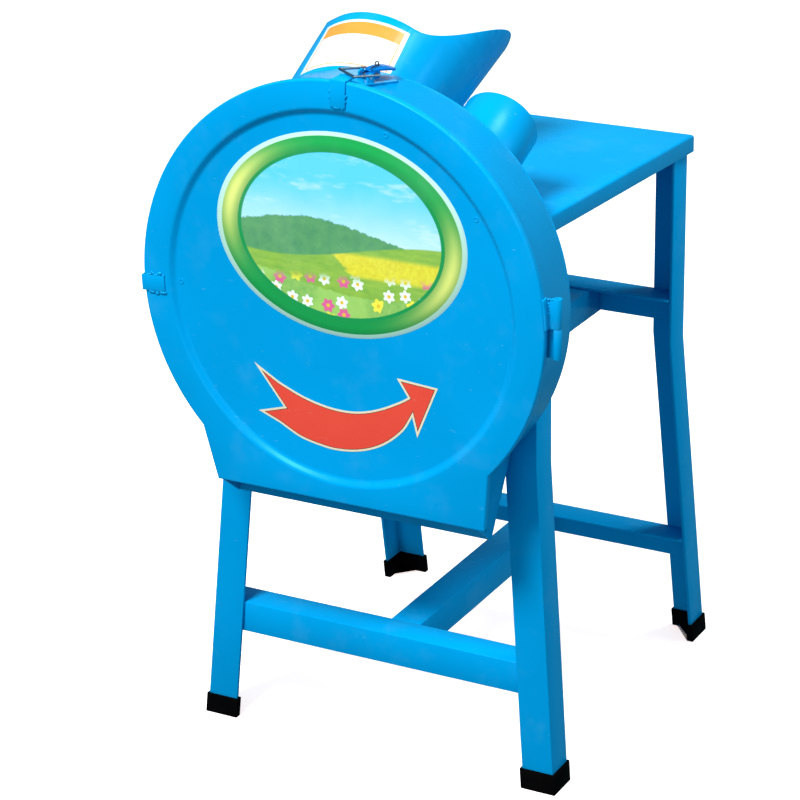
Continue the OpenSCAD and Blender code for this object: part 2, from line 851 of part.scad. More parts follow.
module motor_shell() { color(steel_blue) tube_part(shell_r, shell_r - shell_t, shell_y, shell_end_y); }

foot_w = 206;
foot_t = 5;

module foot_holes() {
  for (s = [-1, 1], e = [-1, 1]) translate([s * foot_a / 2, foot_y + e * foot_b / 2, rail_z - 1])
    cylinder(r = foot_hole_r, h = 60);
}

module motor_feet() {
  foot_z = rail_z + packing_t;
  color(steel_blue) difference() {
    union() {
      for (e = [-1, 1]) translate([-foot_w / 2, foot_y + e * foot_b / 2 - 17, foot_z])
        cube([foot_w, 34, foot_t]);
      for (s = [-1, 1], e = [-1, 1])
        translate([s * 52 - 3, foot_y + e * foot_b / 2 - 15, foot_z]) cube([6, 30, shaft_h - 52]);
    }
    foot_holes();
    shaft_part(shell_r, shell_y - 60, shell_end_y + 60);
  }
}

module motor_packing() {
  color(zinc) difference() {
    for (s = [-1, 1], e = [-1, 1])
      translate([s * foot_a / 2 - 15, foot_y + e * foot_b / 2 - 15, rail_z]) cube([30, 30, packing_t]);
    foot_holes();
  }
}

module motor_bolts() {
  bolt_r = 5;
  top = rail_z + packing_t + foot_t;
  low = rail_z - bar_t;
  color(zinc) for (s = [-1, 1], e = [-1, 1])
    translate([s * foot_a / 2, foot_y + e * foot_b / 2, 0]) {
      translate([0, 0, low - 12]) cylinder(r = bolt_r, h = top - low + 14);
      translate([0, 0, top]) cylinder(r = 9.2, h = 6.4, $fn = 6);
      translate([0, 0, low - 1.5]) cylinder(r = 12, h = 1.5);
      translate([0, 0, low - 9.5]) cylinder(r = 9.2, h = 8, $fn = 6);
    }
}

module shield_bolt_places(r, y0, y1) {
  for (k = [0 : 3]) translate([0, 0, axis_z]) rotate([0, 45 + 90 * k, 0])
    translate([0, y1, shell_r - shell_t - 6]) rotate([90, 0, 0]) cylinder(r = r, h = y1 - y0);
}

module front_end_shield() {
  dish = shell_y - 2;
  color("silver") difference() {
    translate([0, 0, axis_z]) rotate([90, 0, 0]) rotate_extrude() polygon([
      [bearing_bore_r + 3, -front_boss_y], [bearing_r + 6, -front_boss_y],
      [bearing_r + 9, -bearing_y - bearing_w - 6], [shell_r - 10, -dish + 12],
      [shell_r, -dish + 6], [shell_r, -shell_y], [shell_r - shell_t, -shell_y],
      [shell_r - shell_t, -shell_y - 6], [shell_r - shell_t - 5, -shell_y - 6],
      [shell_r - shell_t - 5, -shell_y + 2], [bearing_r + 4, -bearing_y - bearing_w],
      [bearing_r, -bearing_y - bearing_w], [bearing_r, -bearing_y], [bearing_bore_r + 3, -bearing_y]
    ]);
    shield_bolt_places(3, front_boss_y, shell_end_y);
  }
}

module rear_end_shield() {
  color("silver") difference() {
    union() {
      tube_part(shell_r, bearing_bore_r, shell_end_y, shell_end_y + 5);
      tube_part(shell_r - shell_t, shell_r - shell_t - 5, shell_end_y - 6, shell_end_y);
      tube_part(rear_bearing_r + 5, rear_bearing_r, rear_bearing_y, shell_end_y);
    }
    shield_bolt_places(3, shell_y, shell_end_y + 10);
  }
}

module shield_bolts() {
  dish = shell_y - 2;
  color(zinc) {
    shield_bolt_places(3 - pin_play, dish - 12, shell_end_y + 5);
    shield_bolt_places(5.5, shell_end_y + 5, shell_end_y + 9);
  }
}

module motor_bearings() {
  color(bare_steel) {
    tube_part(bearing_r, bearing_bore_r + pin_play, bearing_y, bearing_y + bearing_w);
    tube_part(rear_bearing_r, rear_bearing_bore_r + pin_play, rear_bearing_y, shell_end_y);
  }
}

module stator_core() {
  color("dimgray") difference() {
    tube_part(shell_r - shell_t, stator_in_r, stator_y, stator_y + stator_len);
    shield_bolt_places(3, stator_y - 1, stator_y + stator_len + 1);
  }
}

winding_l = 18;

module stator_windings() {
  color("peru") for (y = [stator_y - winding_l, stator_y + stator_len])
    tube_part(stator_in_r + 22, stator_in_r + 4, y, y + winding_l);
}

box_x = shell_r + 46;
box_y = shell_y + 50;
box_l = 90;
box_h = 60;
box_z = axis_z - 20;

module terminal_box() {
  color(steel_blue) difference() {
    translate([-box_x, box_y, box_z]) cube([box_x - shell_r + 20, box_l, box_h]);
    translate([-box_x - 1, box_y + 3, box_z + 3]) cube([box_x - shell_r - 5, box_l - 6, box_h - 6]);
    shaft_part(shell_r, shell_y, shell_end_y);
    translate([-box_x + 18, box_y + box_l / 2, box_z - 1]) cylinder(r = 9, h = 6);
  }
}

module terminal_box_lid() {
  color(steel_blue) translate([-box_x - 4, box_y - 1.5, box_z - 1.5]) cube([4, box_l + 3, box_h + 3]);
}

module cable_gland() {
  color(rubber_black) translate([-box_x + 18, box_y + box_l / 2, box_z]) difference() {
    union() {
      translate([0, 0, -1]) cylinder(r = 9 - pin_play, h = 6);
      translate([0, 0, -8]) cylinder(r = 13, h = 8, $fn = 6);
      translate([0, 0, -20]) cylinder(r = 10.5, h = 12);
    }
    translate([0, 0, -21]) cylinder(r = 4, h = 30);
  }
}

cap_r = 18;
cap_x = shell_r + 4;
cap_z = axis_z + 66;
cap_len = 70;

module start_capacitor() {
  color(rubber_black) difference() {
    translate([-cap_x, box_y, cap_z]) rotate([-90, 0, 0]) cylinder(r = cap_r, h = cap_len);
    shaft_part(shell_r, shell_y, shell_end_y);
  }
  color(rubber_black) translate([-cap_x - 4, box_y + 10, box_z + box_h])
    cube([8, cap_len - 20, cap_z - cap_r - box_z - box_h + 2]);
}

cowl_y = shell_end_y;
cowl_t = 1.5;

module fan_cowl() {
  color(steel_blue) difference() {
    shaft_part(shell_r + cowl_t + 0.5, cowl_y - 2, cowl_y + cowl_len);
    shaft_part(shell_r, cowl_y - 3, cowl_y + cowl_len - cowl_t);
    for (k = [0 : 11]) translate([0, 0, axis_z]) rotate([0, 30 * k, 0])
      translate([-3, cowl_y + cowl_len - 5, 22]) cube([6, 10, 40]);
  }
}

tail_y = cowl_y + cowl_len - 6;

module motor_shaft() {
  color(bare_steel) difference() {
    union() {
      shaft_part(shaft_r, shaft_end_y, bearing_y - 2);
      shaft_part(bearing_bore_r, bearing_y - 2, stator_y - 10);
      shaft_part(shaft_r + 3, stator_y - 10, stator_y + stator_len + 6);
      shaft_part(rear_bearing_bore_r, stator_y + stator_len + 6, tail_y);
    }
    translate([-key_w / 2, shaft_end_y - 1, axis_z + shaft_r - key_w / 2])
      cube([key_w, key_len + 1, key_w]);
    shaft_part(end_bolt_r, shaft_end_y - 1, shaft_end_y + 30);
  }
}

key_w = 8;
key_len = 40;
end_bolt_r = 5;

module motor_rotor_core() {
  color("gray") tube_part(stator_in_r - air_gap, shaft_r + 3, stator_y, stator_y + stator_len);
}

module cooling_fan() {
  blades = 8;
  color(rubber_black) {
    tube_part(64, rear_bearing_bore_r, cowl_y + 8, cowl_y + 11);
    tube_part(18, rear_bearing_bore_r, cowl_y + 11, cowl_y + 24);
    for (k = [0 : blades - 1]) translate([0, 0, axis_z]) rotate([0, 360 / blades * k, 0])
      translate([-1, cowl_y + 11, 17]) cube([2, 12, 46]);
  }
}

module rotor_hub() {
  color(bare_steel) difference() {
    shaft_part(hub_r, hub_front_y, disc_back_y);
    shaft_part(shaft_r, hub_front_y - 1, disc_back_y + 1);
    translate([-key_w / 2, hub_front_y - 1, axis_z + shaft_r - 1])
      cube([key_w, disc_back_y - hub_front_y + 2, key_w / 2 + 1]);
  }
}

module hub_key() {
  color(bare_steel) translate([-key_w / 2, shaft_end_y, axis_z + shaft_r - key_w / 2])
    cube([key_w, key_len, key_w]);
}

module hub_end_bolt() {
  color(zinc) {
    shaft_part(end_bolt_r, hub_front_y - 3, shaft_end_y + 28);
    tube_part(22, end_bolt_r, hub_front_y - 3, hub_front_y);
    translate([0, hub_front_y - 3, axis_z]) rotate([90, 0, 0]) cylinder(r = 9.2, h = 7, $fn = 6);
  }
}

blade_bolt_r = 5;
blade_bolt_at = [42, 62];

module blade_bolt_places(count, r, y0, y1) {
  for (k = [0 : count - 1], d = blade_bolt_at) translate([0, 0, axis_z])
    rotate([0, 45 + 360 / count * k, 0]) translate([0, y1, d]) rotate([90, 0, 0])
      cylinder(r = r, h = y1 - y0);
}

module blade_disc() {
  color(bare_steel) difference() {
    tube_part(disc_r, hub_r, disc_front_y, disc_back_y);
    blade_bolt_places(2, blade_bolt_r, disc_front_y - 1, disc_back_y + 1);
  }
}

blade_w = 50;

// Two blades, each ground to an edge along its leading side
module cutting_blades() {
  color(bare_steel) difference() {
    for (k = [0 : 1]) translate([0, 0, axis_z]) rotate([0, 45 + 180 * k, 0]) difference() {
      translate([-blade_w / 2, disc_back_y, hub_r + 2]) cube([blade_w, blade_t, blade_r - hub_r - 3]);
      translate([-blade_w / 2, disc_back_y, hub_r + 2 + 40]) rotate([0, 0, -30])
        translate([-20, -10, 0]) cube([20, 20, blade_r]);
    }
    blade_bolt_places(2, blade_bolt_r, disc_back_y - 1, blade_back_y + 1);
  }
}

module blade_bolts() {
  color(zinc) {
    blade_bolt_places(2, blade_bolt_r - pin_play, disc_front_y - 10, blade_back_y - 0.3);
    for (k = [0 : 1], d = blade_bolt_at) translate([0, 0, axis_z])
      rotate([0, 45 + 180 * k, 0]) translate([0, disc_front_y, d]) rotate([90, 0, 0])
        cylinder(r = 9, h = 8, $fn = 6);
  }
}

// Four vanes on the hub, cut back at the rear to clear the chute
module throwing_vanes() {
  count = 4;
  color(bare_steel) translate([0, 0, axis_z]) for (k = [0 : count - 1]) rotate([0, 90 * k, 0])
    across(-vane_t / 2, vane_t / 2) polygon([
      [vane_front_y, hub_r], [vane_front_y, vane_r], [disc_front_y - vane_cut_depth, vane_r],
      [disc_front_y, vane_r - vane_cut], [disc_front_y, hub_r]
    ]);
}

front_left_leg();
front_right_leg();
rear_left_leg();
rear_right_leg();
front_feet();
rear_feet();
lower_front_crossbar();
lower_rear_crossbar();
lower_centre_rail();
mid_front_crossbar();
mid_rear_crossbar();
left_motor_rail();
right_motor_rail();
table_top();
back_plate();
drum_band();
discharge_chute();
back_plate_bolts();
big_feed_tube();
small_feed_tube();
counter_knife();
counter_knife_bolts();
drum_hinge_leaf();
hinge_pin();
top_latch_base();
left_latch_base();
latch_pins();
motor_shell();
motor_feet();
motor_packing();
front_end_shield();
rear_end_shield();
shield_bolts();
motor_bearings();
stator_core();
stator_windings();
terminal_box();
terminal_box_lid();
cable_gland();
start_capacitor();
fan_cowl();
motor_bolts();
motor_shaft();
motor_rotor_core();
cooling_fan();
rotor_hub();
hub_key();
hub_end_bolt();
blade_disc();
cutting_blades();
blade_bolts();
throwing_vanes();
drum_cover();
cover_catches();
cover_hinge_leaf();
top_latch_lever();
top_latch_bail();
left_latch_lever();
left_latch_bail();
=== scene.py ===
"""Grass shredder: painted steel drum on an angle iron stand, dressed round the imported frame."""
import json
import math
import random
import bmesh
import bpy
from mathutils import Matrix, Vector


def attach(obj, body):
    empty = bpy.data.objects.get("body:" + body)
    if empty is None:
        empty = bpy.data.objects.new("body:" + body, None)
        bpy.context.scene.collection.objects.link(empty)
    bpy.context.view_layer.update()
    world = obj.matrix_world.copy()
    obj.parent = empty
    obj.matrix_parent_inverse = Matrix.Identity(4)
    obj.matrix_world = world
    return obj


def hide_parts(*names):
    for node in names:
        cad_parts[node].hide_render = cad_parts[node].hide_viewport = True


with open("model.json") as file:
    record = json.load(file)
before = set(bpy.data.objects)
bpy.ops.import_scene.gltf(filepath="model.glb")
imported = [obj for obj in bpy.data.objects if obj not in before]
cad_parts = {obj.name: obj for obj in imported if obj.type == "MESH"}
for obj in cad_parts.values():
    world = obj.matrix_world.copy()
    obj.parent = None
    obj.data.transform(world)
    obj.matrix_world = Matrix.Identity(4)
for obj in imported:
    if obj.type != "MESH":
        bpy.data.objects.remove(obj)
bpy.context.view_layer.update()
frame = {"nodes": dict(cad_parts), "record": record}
MM = 0.001
SHAFT_HIGH = 600  # height of the shaft line in millimetres
scene = bpy.context.scene
home = scene.collection
body_of = {n: body for body, members in frame["record"]["behaviour"]["bodies"].items() for n in members}

# ---------------------------------------------------------------- camera
CAMERA_AT = Vector((1.4805, -2.8457, 1.6477))
CAMERA_TURN, CAMERA_DROP, CAMERA_ROLL = math.radians(28.62), math.radians(21.45), -0.01738
CAMERA_LENS, CAMERA_SENSOR = 125.98, 36


def make_camera():
    """Sets the camera by its place, turn, drop and roll."""
    turn, drop, roll = CAMERA_TURN, CAMERA_DROP, CAMERA_ROLL
    ahead = Vector((-math.sin(turn) * math.cos(drop), math.cos(turn) * math.cos(drop), -math.sin(drop)))
    right = Vector((math.cos(turn), math.sin(turn), 0))
    up = right.cross(ahead)
    side = right * math.cos(roll) + up * math.sin(roll)
    top = up * math.cos(roll) - right * math.sin(roll)
    data = bpy.data.cameras.new("camera")
    data.lens, data.sensor_width = CAMERA_LENS, CAMERA_SENSOR
    camera = bpy.data.objects.new("camera", data)
    home.objects.link(camera)
    camera.matrix_world = Matrix.Translation(CAMERA_AT) @ Matrix((side, top, -ahead)).transposed().to_4x4()
    scene.camera = camera


make_camera()


# ---------------------------------------------------------------- shader maths
class Val:
    """A socket of a finish, used in plain sums."""

    def __init__(self, finish, socket):
        self.finish, self.socket = finish, socket

    def sum(self, operation, *others):
        inputs = {i: v for i, v in enumerate(others)}
        return self.finish.node("Math", {"operation": operation}, inputs)

    def __add__(self, other): return self.sum("ADD", self, other)
    def __radd__(self, other): return self.sum("ADD", other, self)
    def __sub__(self, other): return self.sum("SUBTRACT", self, other)
    def __rsub__(self, other): return self.sum("SUBTRACT", other, self)
    def __mul__(self, other): return self.sum("MULTIPLY", self, other)
    def __rmul__(self, other): return self.sum("MULTIPLY", other, self)
    def __truediv__(self, other): return self.sum("DIVIDE", self, other)
    def __pow__(self, other): return self.sum("POWER", self, other)
    def above(self, other): return self.sum("GREATER_THAN", self, other)
    def least(self, other): return self.sum("MINIMUM", self, other)
    def most(self, other): return self.sum("MAXIMUM", self, other)
    def cos(self): return self.sum("COSINE", self)
    def angle_with(self, other): return self.sum("ARCTAN2", self, other)
    def root(self): return self.sum("SQRT", self)
    def size(self): return self.sum("ABSOLUTE", self)

    def between(self, low, high):
        """0 under low, 1 over high, smooth between."""
        return self.finish.node("MapRange", {"interpolation_type": "SMOOTHSTEP"},
                                {0: self, 1: low, 2: high, 3: 0.0, 4: 1.0})


class Finish:
    """A material with its Principled shader and the nodes that vary it."""

    def __init__(self, name, metal=0.0, coat=0.0, coat_rough=0.1, specular=0.5):
        self.mat = bpy.data.materials.new(name)
        self.mat.use_nodes = True
        self.tree = self.mat.node_tree
        self.tree.nodes.clear()
        self.shader = self.tree.nodes.new("ShaderNodeBsdfPrincipled")
        out = self.tree.nodes.new("ShaderNodeOutputMaterial")
        self.tree.links.new(self.shader.outputs[0], out.inputs[0])
        self.put(Metallic=metal, Coat_Weight=coat, Coat_Roughness=coat_rough, Specular_IOR_Level=specular)
        self.object_place = None

    def feed(self, socket, value):
        """Links a value into a socket, or sets the socket to a number or colour."""
        if isinstance(value, Val):
            self.tree.links.new(value.socket, socket)
        elif isinstance(value, tuple) and len(value) == 3 and len(socket.default_value) == 4:
            socket.default_value = (*value, 1.0)
        else:
            socket.default_value = value

    def put(self, **sockets):
        for name, value in sockets.items():
            label = name.replace("_", " ")
            self.feed(self.shader.inputs[label], value)

    def node(self, kind, settings=None, inputs=None, out=0):
        made = self.tree.nodes.new("ShaderNode" + kind)
        for name, value in (settings or {}).items():
            setattr(made, name, value)
        for name, value in (inputs or {}).items():
            self.feed(made.inputs[name], value)
        return Val(self, made.outputs[out])

    def place(self, scale, shift):
        """The object's own coordinates, scaled and shifted."""
        if self.object_place is None:
            self.object_place = self.node("TexCoord", out="Object")
        return self.node("Mapping", None, {"Vector": self.object_place, "Scale": scale, "Location": shift})

    def noise(self, scale, detail, rough, stretch=(1, 1, 1), shift=(0, 0, 0)):
        return self.node("TexNoise", None, {"Vector": self.place(stretch, shift), "Scale": scale,
                                            "Detail": detail, "Roughness": rough})

    def mix(self, factor, first, second):
        return self.node("Mix", {"data_type": "RGBA"}, {0: factor, 6: first, 7: second}, out=2)

    def parts(self, vector):
        split = self.tree.nodes.new("ShaderNodeSeparateXYZ")
        self.feed(split.inputs[0], vector)
        return [Val(self, split.outputs[i]) for i in range(3)]

    def raised(self, height, depth):
        """A bump of the given depth in metres, from a height of 0 to 1."""
        self.put(Normal=self.node("Bump", None, {"Height": height, "Distance": depth, "Strength": 1.0}))


ENAMEL_TINT = (0.15, 0.75, 1.0)
DUST, SCUFF = (0.42, 0.6, 0.68), (0.45, 0.72, 0.85)
BRUSHED_DEPTH, MOULDED_DEPTH, INK_DEPTH = 0.00004, 0.00006, 0.00006


def painted(name, dark, light, rough=0.22, specular=0.2, peel=0.00003, dust=0.03):
    """Sprayed enamel: uneven cover, orange peel, small scuffs and a little dust."""
    f = Finish(name, specular=specular)
    f.put(Specular_Tint=ENAMEL_TINT)
    cloud = f.noise(5, 3, 0.55)
    patch = f.noise(19, 4, 0.6, shift=(3, 1, 2))
    peel_map = f.noise(330, 2, 0.55)
    runs = f.noise(60, 3, 0.6, stretch=(1, 1, 0.06))
    scuff = f.noise(75, 5, 0.75, stretch=(1, 1, 4), shift=(7, 5, 1)).between(0.66, 0.74)
    specks = f.noise(520, 1, 0.5, shift=(1, 9, 4)).between(0.73, 0.78)
    dusty = patch.between(0.5, 0.8) * dust
    colour = f.mix(cloud.between(0.3, 0.7), dark, light)
    colour = f.mix(runs.between(0.45, 0.75) * 0.12, colour, light)
    colour = f.mix(dusty, colour, DUST)
    colour = f.mix(scuff * 0.22, colour, SCUFF)
    colour = f.mix(specks * 0.35, colour, tuple(c * 0.3 for c in dark))
    f.put(Base_Color=colour, Roughness=rough + cloud * 0.1 + scuff * 0.12 + dusty * 0.8)
    f.raised(peel_map * 0.6 + runs * 0.1 + cloud, peel)
    return f.mat


def bare_metal(name, dark, light, rough, grain=(1, 1, 30), fine=90, stain=(0.2, 0.13, 0.08), rust=0.15):
    """Machined or plated metal with a brushed grain and a little staining."""
    f = Finish(name, metal=1.0)
    brushed = f.noise(fine, 4, 0.65, stretch=grain)
    patch = f.noise(28, 4, 0.6)
    spots = f.noise(120, 3, 0.7, shift=(2, 4, 8)).between(0.62, 0.78) * patch.between(0.4, 0.7)
    colour = f.mix(brushed, dark, light)
    colour = f.mix(spots * rust, colour, stain)
    f.put(Base_Color=colour, Roughness=rough + brushed * 0.12 + spots * 0.3, Metallic=1 - spots * rust)
    f.raised(brushed + spots, BRUSHED_DEPTH)
    return f.mat


def moulded(name, dark, light, rough, grain=260, specular=0.35):
    """Moulded rubber or plastic: fine grain, dusty in places."""
    f = Finish(name, specular=specular)
    grainy = f.noise(grain, 3, 0.6)
    patch = f.noise(30, 4, 0.65)
    worn = f.noise(90, 4, 0.7, shift=(5, 2, 1)).between(0.58, 0.75)
    colour = f.mix(patch.between(0.35, 0.75) * 0.6 + worn * 0.4, dark, light)
    f.put(Base_Color=colour, Roughness=rough + patch * 0.15 - worn * 0.08)
    f.raised(grainy + patch * 0.5, MOULDED_DEPTH)
    return f.mat


AZURE_DARK, AZURE_LIGHT = (0.0, 0.285, 0.62), (0.0, 0.315, 0.68)
paint = painted("azure_enamel", AZURE_DARK, AZURE_LIGHT)
# Painted light: the stand wears the drum's azure enamel, painted a little lighter here to make up for the
# shade the drum casts on the legs and bars.
stand_paint_with_painted_light = painted("azure_enamel_painted_lighter_on_the_stand", (0.0, 0.305, 0.66), (0.0, 0.335, 0.72),
                      specular=0.08, dust=0.05)
rubber = moulded("black_rubber", (0.001, 0.0008, 0.0008), (0.004, 0.003, 0.003), 0.8, specular=0.03)
zinc = bare_metal("zinc_plate", (0.5, 0.52, 0.55), (0.78, 0.79, 0.8), 0.24)
steel = bare_metal("machined_steel", (0.35, 0.36, 0.38), (0.6, 0.61, 0.63), 0.28, grain=(30, 1, 1))
tool_steel = bare_metal("ground_tool_steel", (0.3, 0.31, 0.33), (0.55, 0.56, 0.58), 0.22, grain=(40, 3, 1))
aluminium = bare_metal("cast_aluminium", (0.5, 0.51, 0.52), (0.72, 0.73, 0.74), 0.42, grain=(1, 1, 1),
                       fine=160, stain=(0.3, 0.29, 0.27))
laminations = bare_metal("core_laminations", (0.12, 0.12, 0.13), (0.34, 0.34, 0.35), 0.45,
                         grain=(1, 60, 1), fine=25, rust=0.4)
copper = bare_metal("enamelled_copper", (0.42, 0.13, 0.05), (0.75, 0.33, 0.16), 0.25, grain=(1, 1, 8),
                    fine=140, stain=(0.15, 0.05, 0.02))
black_plastic = moulded("black_plastic", (0.012, 0.012, 0.013), (0.05, 0.05, 0.052), 0.4, grain=420)
weld_paint = painted("azure_enamel_on_welds", AZURE_DARK, AZURE_LIGHT, rough=0.16, specular=0.7, peel=0.0001)
# Painted shade: the levers wear the same azure enamel as their bases, here painted a deep dark blue to stand
# in for the shade they sit in.
latch_paint_darkened_for_shade = painted("latch_enamel_painted_dark_for_shade", (0.0, 0.10, 0.36), (0.0, 0.15, 0.5), specular=0.3)
latch_wire = bare_metal("sprayed_latch_wire", (0.06, 0.09, 0.13), (0.30, 0.36, 0.42), 0.3)


# ---------------------------------------------------------------- modelling by hand
def only(obj):
    """Makes this object the one that is selected and active."""
    bpy.ops.object.select_all(action="DESELECT")
    obj.select_set(True)
    bpy.context.view_layer.objects.active = obj


def added(operator, name, **settings):
    """Adds a primitive and names it."""
    bpy.ops.object.select_all(action="DESELECT")
    operator(**settings)
    obj = bpy.context.object
    obj.name = obj.data.name = name
    return obj


def settle(obj):
    """Puts the object's place into its mesh."""
    only(obj)
    bpy.ops.object.transform_apply(location=True, rotation=True, scale=True)


def open_mesh(obj):
    only(obj)
    bpy.ops.object.mode_set(mode="EDIT")
    bpy.ops.mesh.select_all(action="SELECT")


def close_mesh():
    bpy.ops.object.mode_set(mode="OBJECT")


def pick(obj, kind, test):
    """Selects the vertices, edges or faces of the open mesh that pass a test."""
    bpy.ops.mesh.select_all(action="DESELECT")
    bpy.context.tool_settings.mesh_select_mode = (kind == "VERT", kind == "EDGE", kind == "FACE")
    mesh = bmesh.from_edit_mesh(obj.data)
    mesh.select_mode = {kind}
    group = {"VERT": mesh.verts, "EDGE": mesh.edges, "FACE": mesh.faces}[kind]
    for part in group:
        part.select_set(bool(test(part)))
    mesh.select_flush_mode()
    bmesh.update_edit_mesh(obj.data)


def applied(obj, kind, **settings):
    """Adds a modifier and applies it."""
    only(obj)
    modifier = obj.modifiers.new(kind.title(), kind)
    for name, value in settings.items():
        setattr(modifier, name, value)
    bpy.ops.object.modifier_apply(modifier=modifier.name)


def smooth(obj, degrees):
    """Shades smooth across edges flatter than so many degrees."""
    only(obj)
    bpy.ops.object.shade_smooth_by_angle(angle=math.radians(degrees))


def finished(obj, finish, body):
    """Gives a piece its material or materials and its body."""
    obj.data.materials.clear()
    for one in finish if isinstance(finish, list) else [finish]:
        obj.data.materials.append(one)
    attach(obj, body)
    return obj


def merged_copy(node, name, whole):
    """A copy of a node's mesh with its loose triangles joined and, if wished, its flat faces made whole."""
    obj = bpy.data.objects.new(name, frame["nodes"][node].data.copy())
    home.objects.link(obj)
    open_mesh(obj)
    bpy.ops.mesh.remove_doubles(threshold=0.00001)
    if whole:
        bpy.ops.mesh.dissolve_limited(angle_limit=math.radians(0.4))
    close_mesh()
    return obj


SHARP_FROM = 32  # degrees from which an edge of a solid is rounded


def rounded(node, finish, width, steps=2, shape=None, soft=38, whole=True):
    """The node again, with its sharp edges rounded by so many millimetres."""
    piece = merged_copy(node, node + "_rounded", whole)
    if shape:
        shape(piece)
    applied(piece, "BEVEL", width=width * MM, segments=steps, limit_method="ANGLE",
            angle_limit=math.radians(SHARP_FROM), use_clamp_overlap=True, miter_outer="MITER_ARC")
    smooth(piece, soft)
    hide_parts(node)
    return finished(piece, finish, body_of[node])


def strewn(name, model, places):
    """One piece made of copies of a model at each place."""
    points = [v.co.copy() for v in model.data.vertices]
    faces = [tuple(p.vertices) for p in model.data.polygons]
    all_points, all_faces = [], []
    for place in places:
        start = len(all_points)
        all_points += [place @ p for p in points]
        all_faces += [tuple(start + i for i in face) for face in faces]
    mesh = bpy.data.meshes.new(name)
    mesh.from_pydata(all_points, [], all_faces)
    obj = bpy.data.objects.new(name, mesh)
    home.objects.link(obj)
    return obj


# ---------------------------------------------------------------- plain nodes that keep their shape
def repaint(finish, *names):
    """Gives nodes that stay as they are their material."""
    for name in names:
        mesh = frame["nodes"][name].data
        mesh.materials.clear()
        mesh.materials.append(finish)


repaint(steel, "motor_shaft", "rotor_hub", "hub_key", "blade_disc", "motor_bearings")
repaint(tool_steel, "counter_knife")
repaint(laminations, "stator_core", "motor_rotor_core")
repaint(copper, "stator_windings")
repaint(zinc, "latch_pins", "counter_knife_bolts", "blade_bolts", "hub_end_bolt", "hinge_pin",
        "shield_bolts", "motor_bolts", "back_plate_bolts")
repaint(black_plastic, "cooling_fan")

# ---------------------------------------------------------------- stand
LEG_EDGE, BAR_EDGE = 1.1, 0.9
for node in ("front_left_leg", "front_right_leg", "rear_left_leg", "rear_right_leg"):
    rounded(node, stand_paint_with_painted_light, LEG_EDGE)
for node in ("lower_front_crossbar", "lower_rear_crossbar", "lower_centre_rail", "mid_front_crossbar",
             "mid_rear_crossbar", "left_motor_rail", "right_motor_rail"):
    rounded(node, stand_paint_with_painted_light, BAR_EDGE)
for node in ("front_feet", "rear_feet"):
    rounded(node, rubber, 1.0, 3)


FOLD = 4.5 * MM  # radius of the bend along the table's edge
UPRIGHT = math.radians(60)  # an edge that turns more than this is a corner


def shape_table(piece):
    """Rolls the folded upper edge of the table's sheet."""
    top = max(v.co.z for v in piece.data.vertices)
    open_mesh(piece)
    pick(piece, "EDGE", lambda e: all(v.co.z > top - 0.1 * MM for v in e.verts)
         and len(e.link_faces) == 2 and e.calc_face_angle(0) > UPRIGHT)
    bpy.ops.mesh.bevel(offset=FOLD, segments=5, clamp_overlap=False)
    close_mesh()


rounded("table_top", paint, 0.5, 3, shape=shape_table)

# ---------------------------------------------------------------- drum, chute and tubes
DRUM_EDGES = {"back_plate": 0.7, "drum_band": 0.6, "discharge_chute": 0.6, "big_feed_tube": 0.7,
              "small_feed_tube": 0.7, "drum_hinge_leaf": 0.5, "cover_hinge_leaf": 0.5, "cover_catches": 0.5}
for node, width in DRUM_EDGES.items():
    rounded(node, paint, width)


# Latches, in their own millimetres: x across, y towards the cover, z out from the band
DRUM_R, LATCH_REACH, BAND_FRONT, LIP_GAP = 249, 46, -257, 3
TOP_TURN, LEFT_TURN = 2, -92.53  # degrees round the drum, clockwise from the top


def latch_place(turn, skew):
    """Where a latch stands on the band, turned round the drum and skewed on its foot, in degrees."""
    turn, skew = math.radians(turn), math.radians(skew)
    swing = turn + math.asin(LATCH_REACH * math.sin(skew) / DRUM_R)
    return (Matrix.Translation((0, 0, SHAFT_HIGH)) @ Matrix.Rotation(swing, 4, "Y")
            @ Matrix.Translation((0, BAND_FRONT + LATCH_REACH * math.cos(skew) - LIP_GAP, DRUM_R))
            @ Matrix.Rotation(math.pi - skew, 4, "Z"))


TOP_LATCH, LEFT_LATCH = latch_place(TOP_TURN, 27), latch_place(LEFT_TURN, 0)
LEVER_CUTS = range(-15, 18, 3)  # where a lever's plate is cut so that it can bend
PLATE_FROM, LEAF_WIDE, LEAF_TAPER, LEAF_CURL = 14.2, 1.16, 0.0012, 0.0065


def leaf(place):
    """Gives a lever's plate its leaf outline and the curl of its tail."""
    def shape(piece):
        inward = place.inverted()
        across = (place.to_3x3() @ Vector((0, 1, 0))).normalized()
        open_mesh(piece)
        for y in LEVER_CUTS:
            bpy.ops.mesh.select_all(action="SELECT")
            bpy.ops.mesh.bisect(plane_co=(place @ Vector((0, y, 0))) * MM, plane_no=across)
        close_mesh()
        for vertex in piece.data.vertices:
            at = inward @ (vertex.co / MM)
            if at.z > PLATE_FROM:
                at.x *= LEAF_WIDE - LEAF_TAPER * (at.y + 2) ** 2
                at.z -= LEAF_CURL * (at.y - 4) ** 2
                vertex.co = (place @ at) * MM
    return shape


for node, place in (("top_latch_lever", TOP_LATCH), ("left_latch_lever", LEFT_LATCH)):
    rounded(node, latch_paint_darkened_for_shade, 0.3, shape=leaf(place))
for node in ("top_latch_base", "left_latch_base"):
    rounded(node, paint, 0.4)
repaint(latch_wire, "top_latch_bail", "left_latch_bail")

